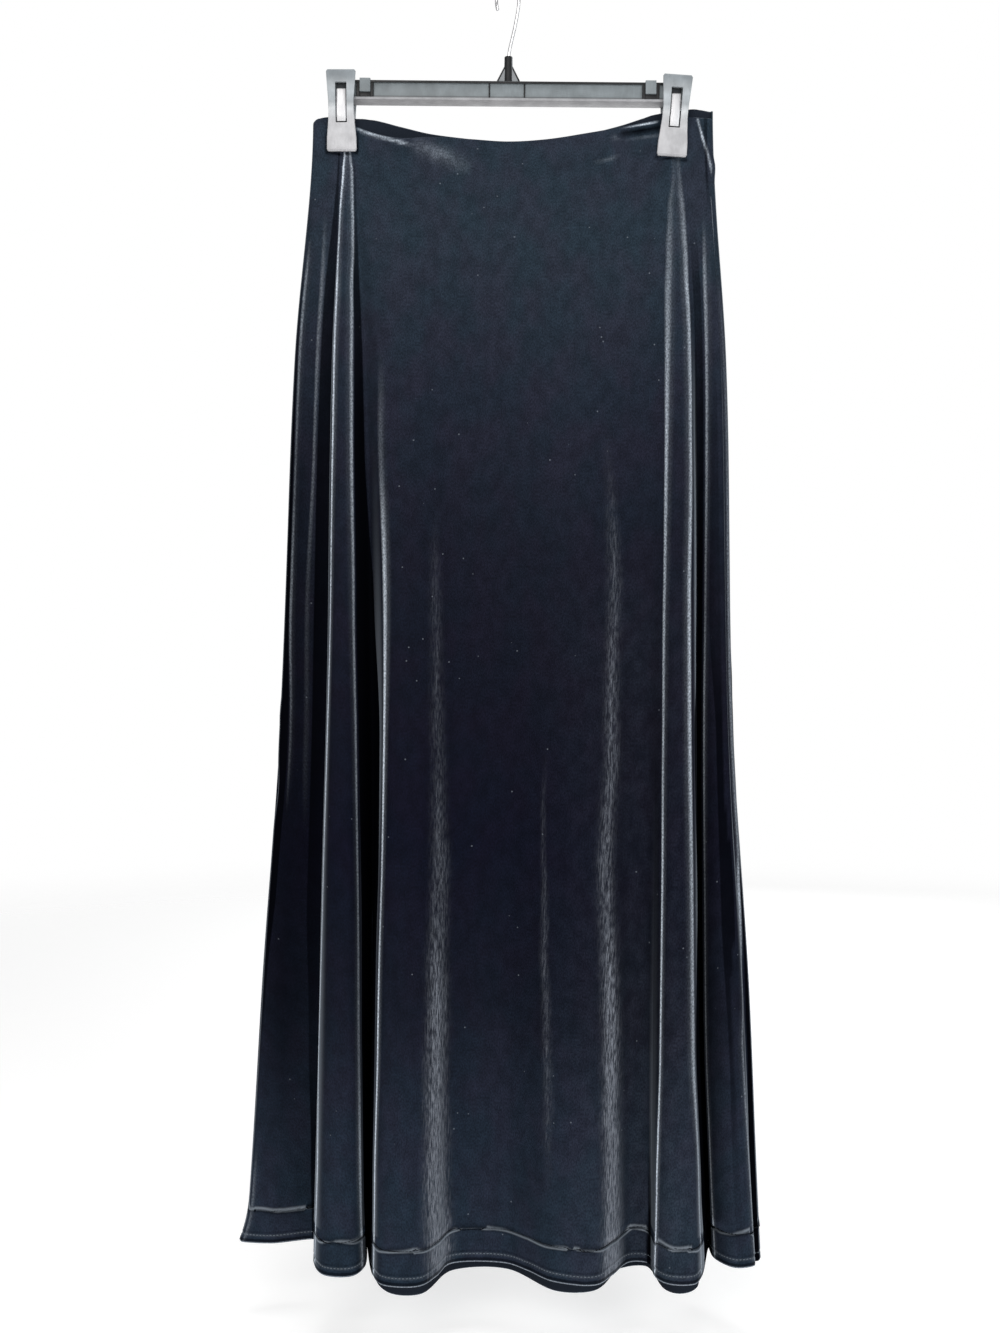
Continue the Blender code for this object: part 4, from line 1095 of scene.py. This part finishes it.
def makeBar(finishes):
    left, right, top, bottom, half = bar["left"], bar["right"], bar["top"], bar["bottom"], bar["deep"] / 2
    flange, proud, web, lineDeep = bar["flange"], bar["lineProud"], bar["web"], bar["lineDeep"]
    under, over = bottom + flange / 2, top - flange / 2  # the middles of the two flanges
    bm = bmesh.new()
    addBlock(bm, (left, -half, top - flange), (right, half, top))
    # a dark strip along the top flange's front: painted shade
    addBlock(bm, (left, -half - proud, top - flange), (right, lineDeep - half, top - proud), dark=True)
    addBlock(bm, (left, -half, bottom), (right, half, bottom + flange))
    addBlock(bm, (left, web[0], under), (right, web[1], over))
    thin, reach = bar["ribHalf"], bar["ribReach"]
    # the ribs are dark: painted shade
    for x in bar["ribs"]:
        addBlock(bm, (x - thin, -reach, under), (x + thin, reach, over), dark=True)
    wide, deep, tall = bar["blockSize"]
    high = top + bar["blockRise"]
    for x in bar["blocks"]:  # a stop block, a slot on each side of it and one below; the slots are dark boxes of painted shade
        addBlock(bm, (x - wide / 2, -deep / 2, high - tall), (x + wide / 2, deep / 2, high))
        for side in (-1, 1):
            slot = x + side * (wide + bar["slotWide"]) / 2
            addBlock(bm, (slot - bar["slotWide"] / 2, -half, bottom + flange),
                     (slot + bar["slotWide"] / 2, web[0] + bar["slotInWeb"], top - flange), dark=True)
        addBlock(bm, (x - wide / 2, -half, bottom + flange), (x + wide / 2, lineDeep - half, high - tall),
                 dark=True)
    x, radius, foot = bar["postX"], bar["postRadius"], top - flange
    narrow, reach = radius * bar["postTaper"], radius + bar["gussetReach"]
    bmesh.ops.create_cone(
        bm, cap_ends=True, segments=bar["postSides"], radius1=radius, radius2=narrow,
        depth=bar["postTop"] - foot, matrix=Matrix.Translation((x, 0, (bar["postTop"] + foot) / 2)))
    for inset, share in ((0, 1), (bar["gussetRim"], bar["gussetPanel"])):  # the dark rim of painted shade, then its panel
        across, thick = reach - inset * bar["gussetRimFoot"], bar["gussetHalf"] * share
        addBlock(bm, (x - across, -thick, top - bar["gussetSunk"]),
                 (x + across, thick, bar["gussetTop"] - inset), dark=not inset, topHalf=narrow - inset)
    bm.transform(Matrix.Scale(mm, 4) @ Matrix.Rotation(math.radians(hangerTilt), 4, "Y"))
    piece = newPiece("hangerBar", bm, finishes, softening["sharpAbove"])
    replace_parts(piece, "hanger_bar")


hook = {
    "wireRadius": 1.4, "radius": 18, "turn": -55, "tip": 205, "shank": -22, "steps": 60, "around": 18,
    "shankPoints": ((15.5, -33), (10.6, -47), (4.6, -60), (1.2, -68), (0, -76), (0, -80)),
    "shankSteps": (4, 10, 8), "shiftDepth": 60,
    "tipRounding": ((0.0, 0.02), (0.35, 0.55), (0.75, 0.88)),  # (share along the tip, share of the radius)
}


def makeHook(finish):
    thick, radius = hook["wireRadius"], hook["radius"]
    path = []
    for k in range(hook["steps"] + 1):
        angle = math.radians(hook["tip"] + (hook["shank"] - hook["tip"]) * k / hook["steps"])
        path.append(Vector((radius * math.cos(angle), thick - radius + radius * math.sin(angle))))
    shank = [Vector(point) for point in hook["shankPoints"]]
    lead, join, each = hook["shankSteps"]
    path += through([path[-2], path[-1], *shank], [lead, join] + [each] * (len(shank) - 1))[lead + 1:]
    turn, tilt = math.radians(hook["turn"]), Matrix.Rotation(math.radians(hangerTilt), 3, "Y")
    line = [tilt @ Vector((
        along * math.cos(turn) + bar["postX"] * smoothstep(-up / hook["shiftDepth"]),
        along * math.sin(turn), up)) for along, up in path]
    first = (line[1] - line[0]).normalized()
    widths = [thick * share for _, share in hook["tipRounding"]] + [thick] * len(line)
    line = [line[0] - first * thick * (1 - reach) for reach, _ in hook["tipRounding"]] + line
    around, last = hook["around"], len(line) - 1
    flat = Vector((-math.sin(turn), math.cos(turn), 0))
    bm, places = newGrid(around, last)
    for corner, (row, column) in zip(bm.verts, places):
        along = (line[min(row + 1, last)] - line[max(row - 1, 0)]).normalized()
        side = along.cross(flat).normalized()
        angle = 2 * math.pi * column / around
        spoke = side * math.cos(angle) + along.cross(side) * math.sin(angle)
        corner.co = (line[row] + spoke * widths[row]) * mm
    bmesh.ops.remove_doubles(bm, verts=bm.verts, dist=softening["merge"] * mm)
    bmesh.ops.holes_fill(bm, edges=[rim for rim in bm.edges if rim.is_boundary])
    bmesh.ops.recalc_face_normals(bm, faces=bm.faces)
    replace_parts(newPiece("hangerHook", bm, (finish,)), "hanger_hook")


bpy.context.scene.view_settings.view_transform = "Standard"
makeCamera()
makeLamps()
makeFloor()
makeSky()
print("studio ready")

skirtFinishes, threadFinish = (makeVelvet(), makeBacking()), makeThread()
for panel in (frontPanel, backPanel):
    makePanel(panel, skirtFinishes, threadFinish)
print("skirt ready")

clipPlastic, springSteel = makePlastic("clipPlastic"), makeSteel("springSteel")
makeBar((makePlastic("barPlastic"), makePlastic("paintedShadePlastic")))
makeHook(makeSteel("hookWire"))
for side in clips:
    for face in ("front", "back"):
        softenedCopy(f"clip{side.title()}{face.title()}Jaw", f"clip_{side}_{face}_jaw", softening["jawEdge"],
                     (clipPlastic,))
    softenedCopy(f"clip{side.title()}Spring", f"clip_{side}_spring", softening["springEdge"],
                 (springSteel,))
print("hanger ready")
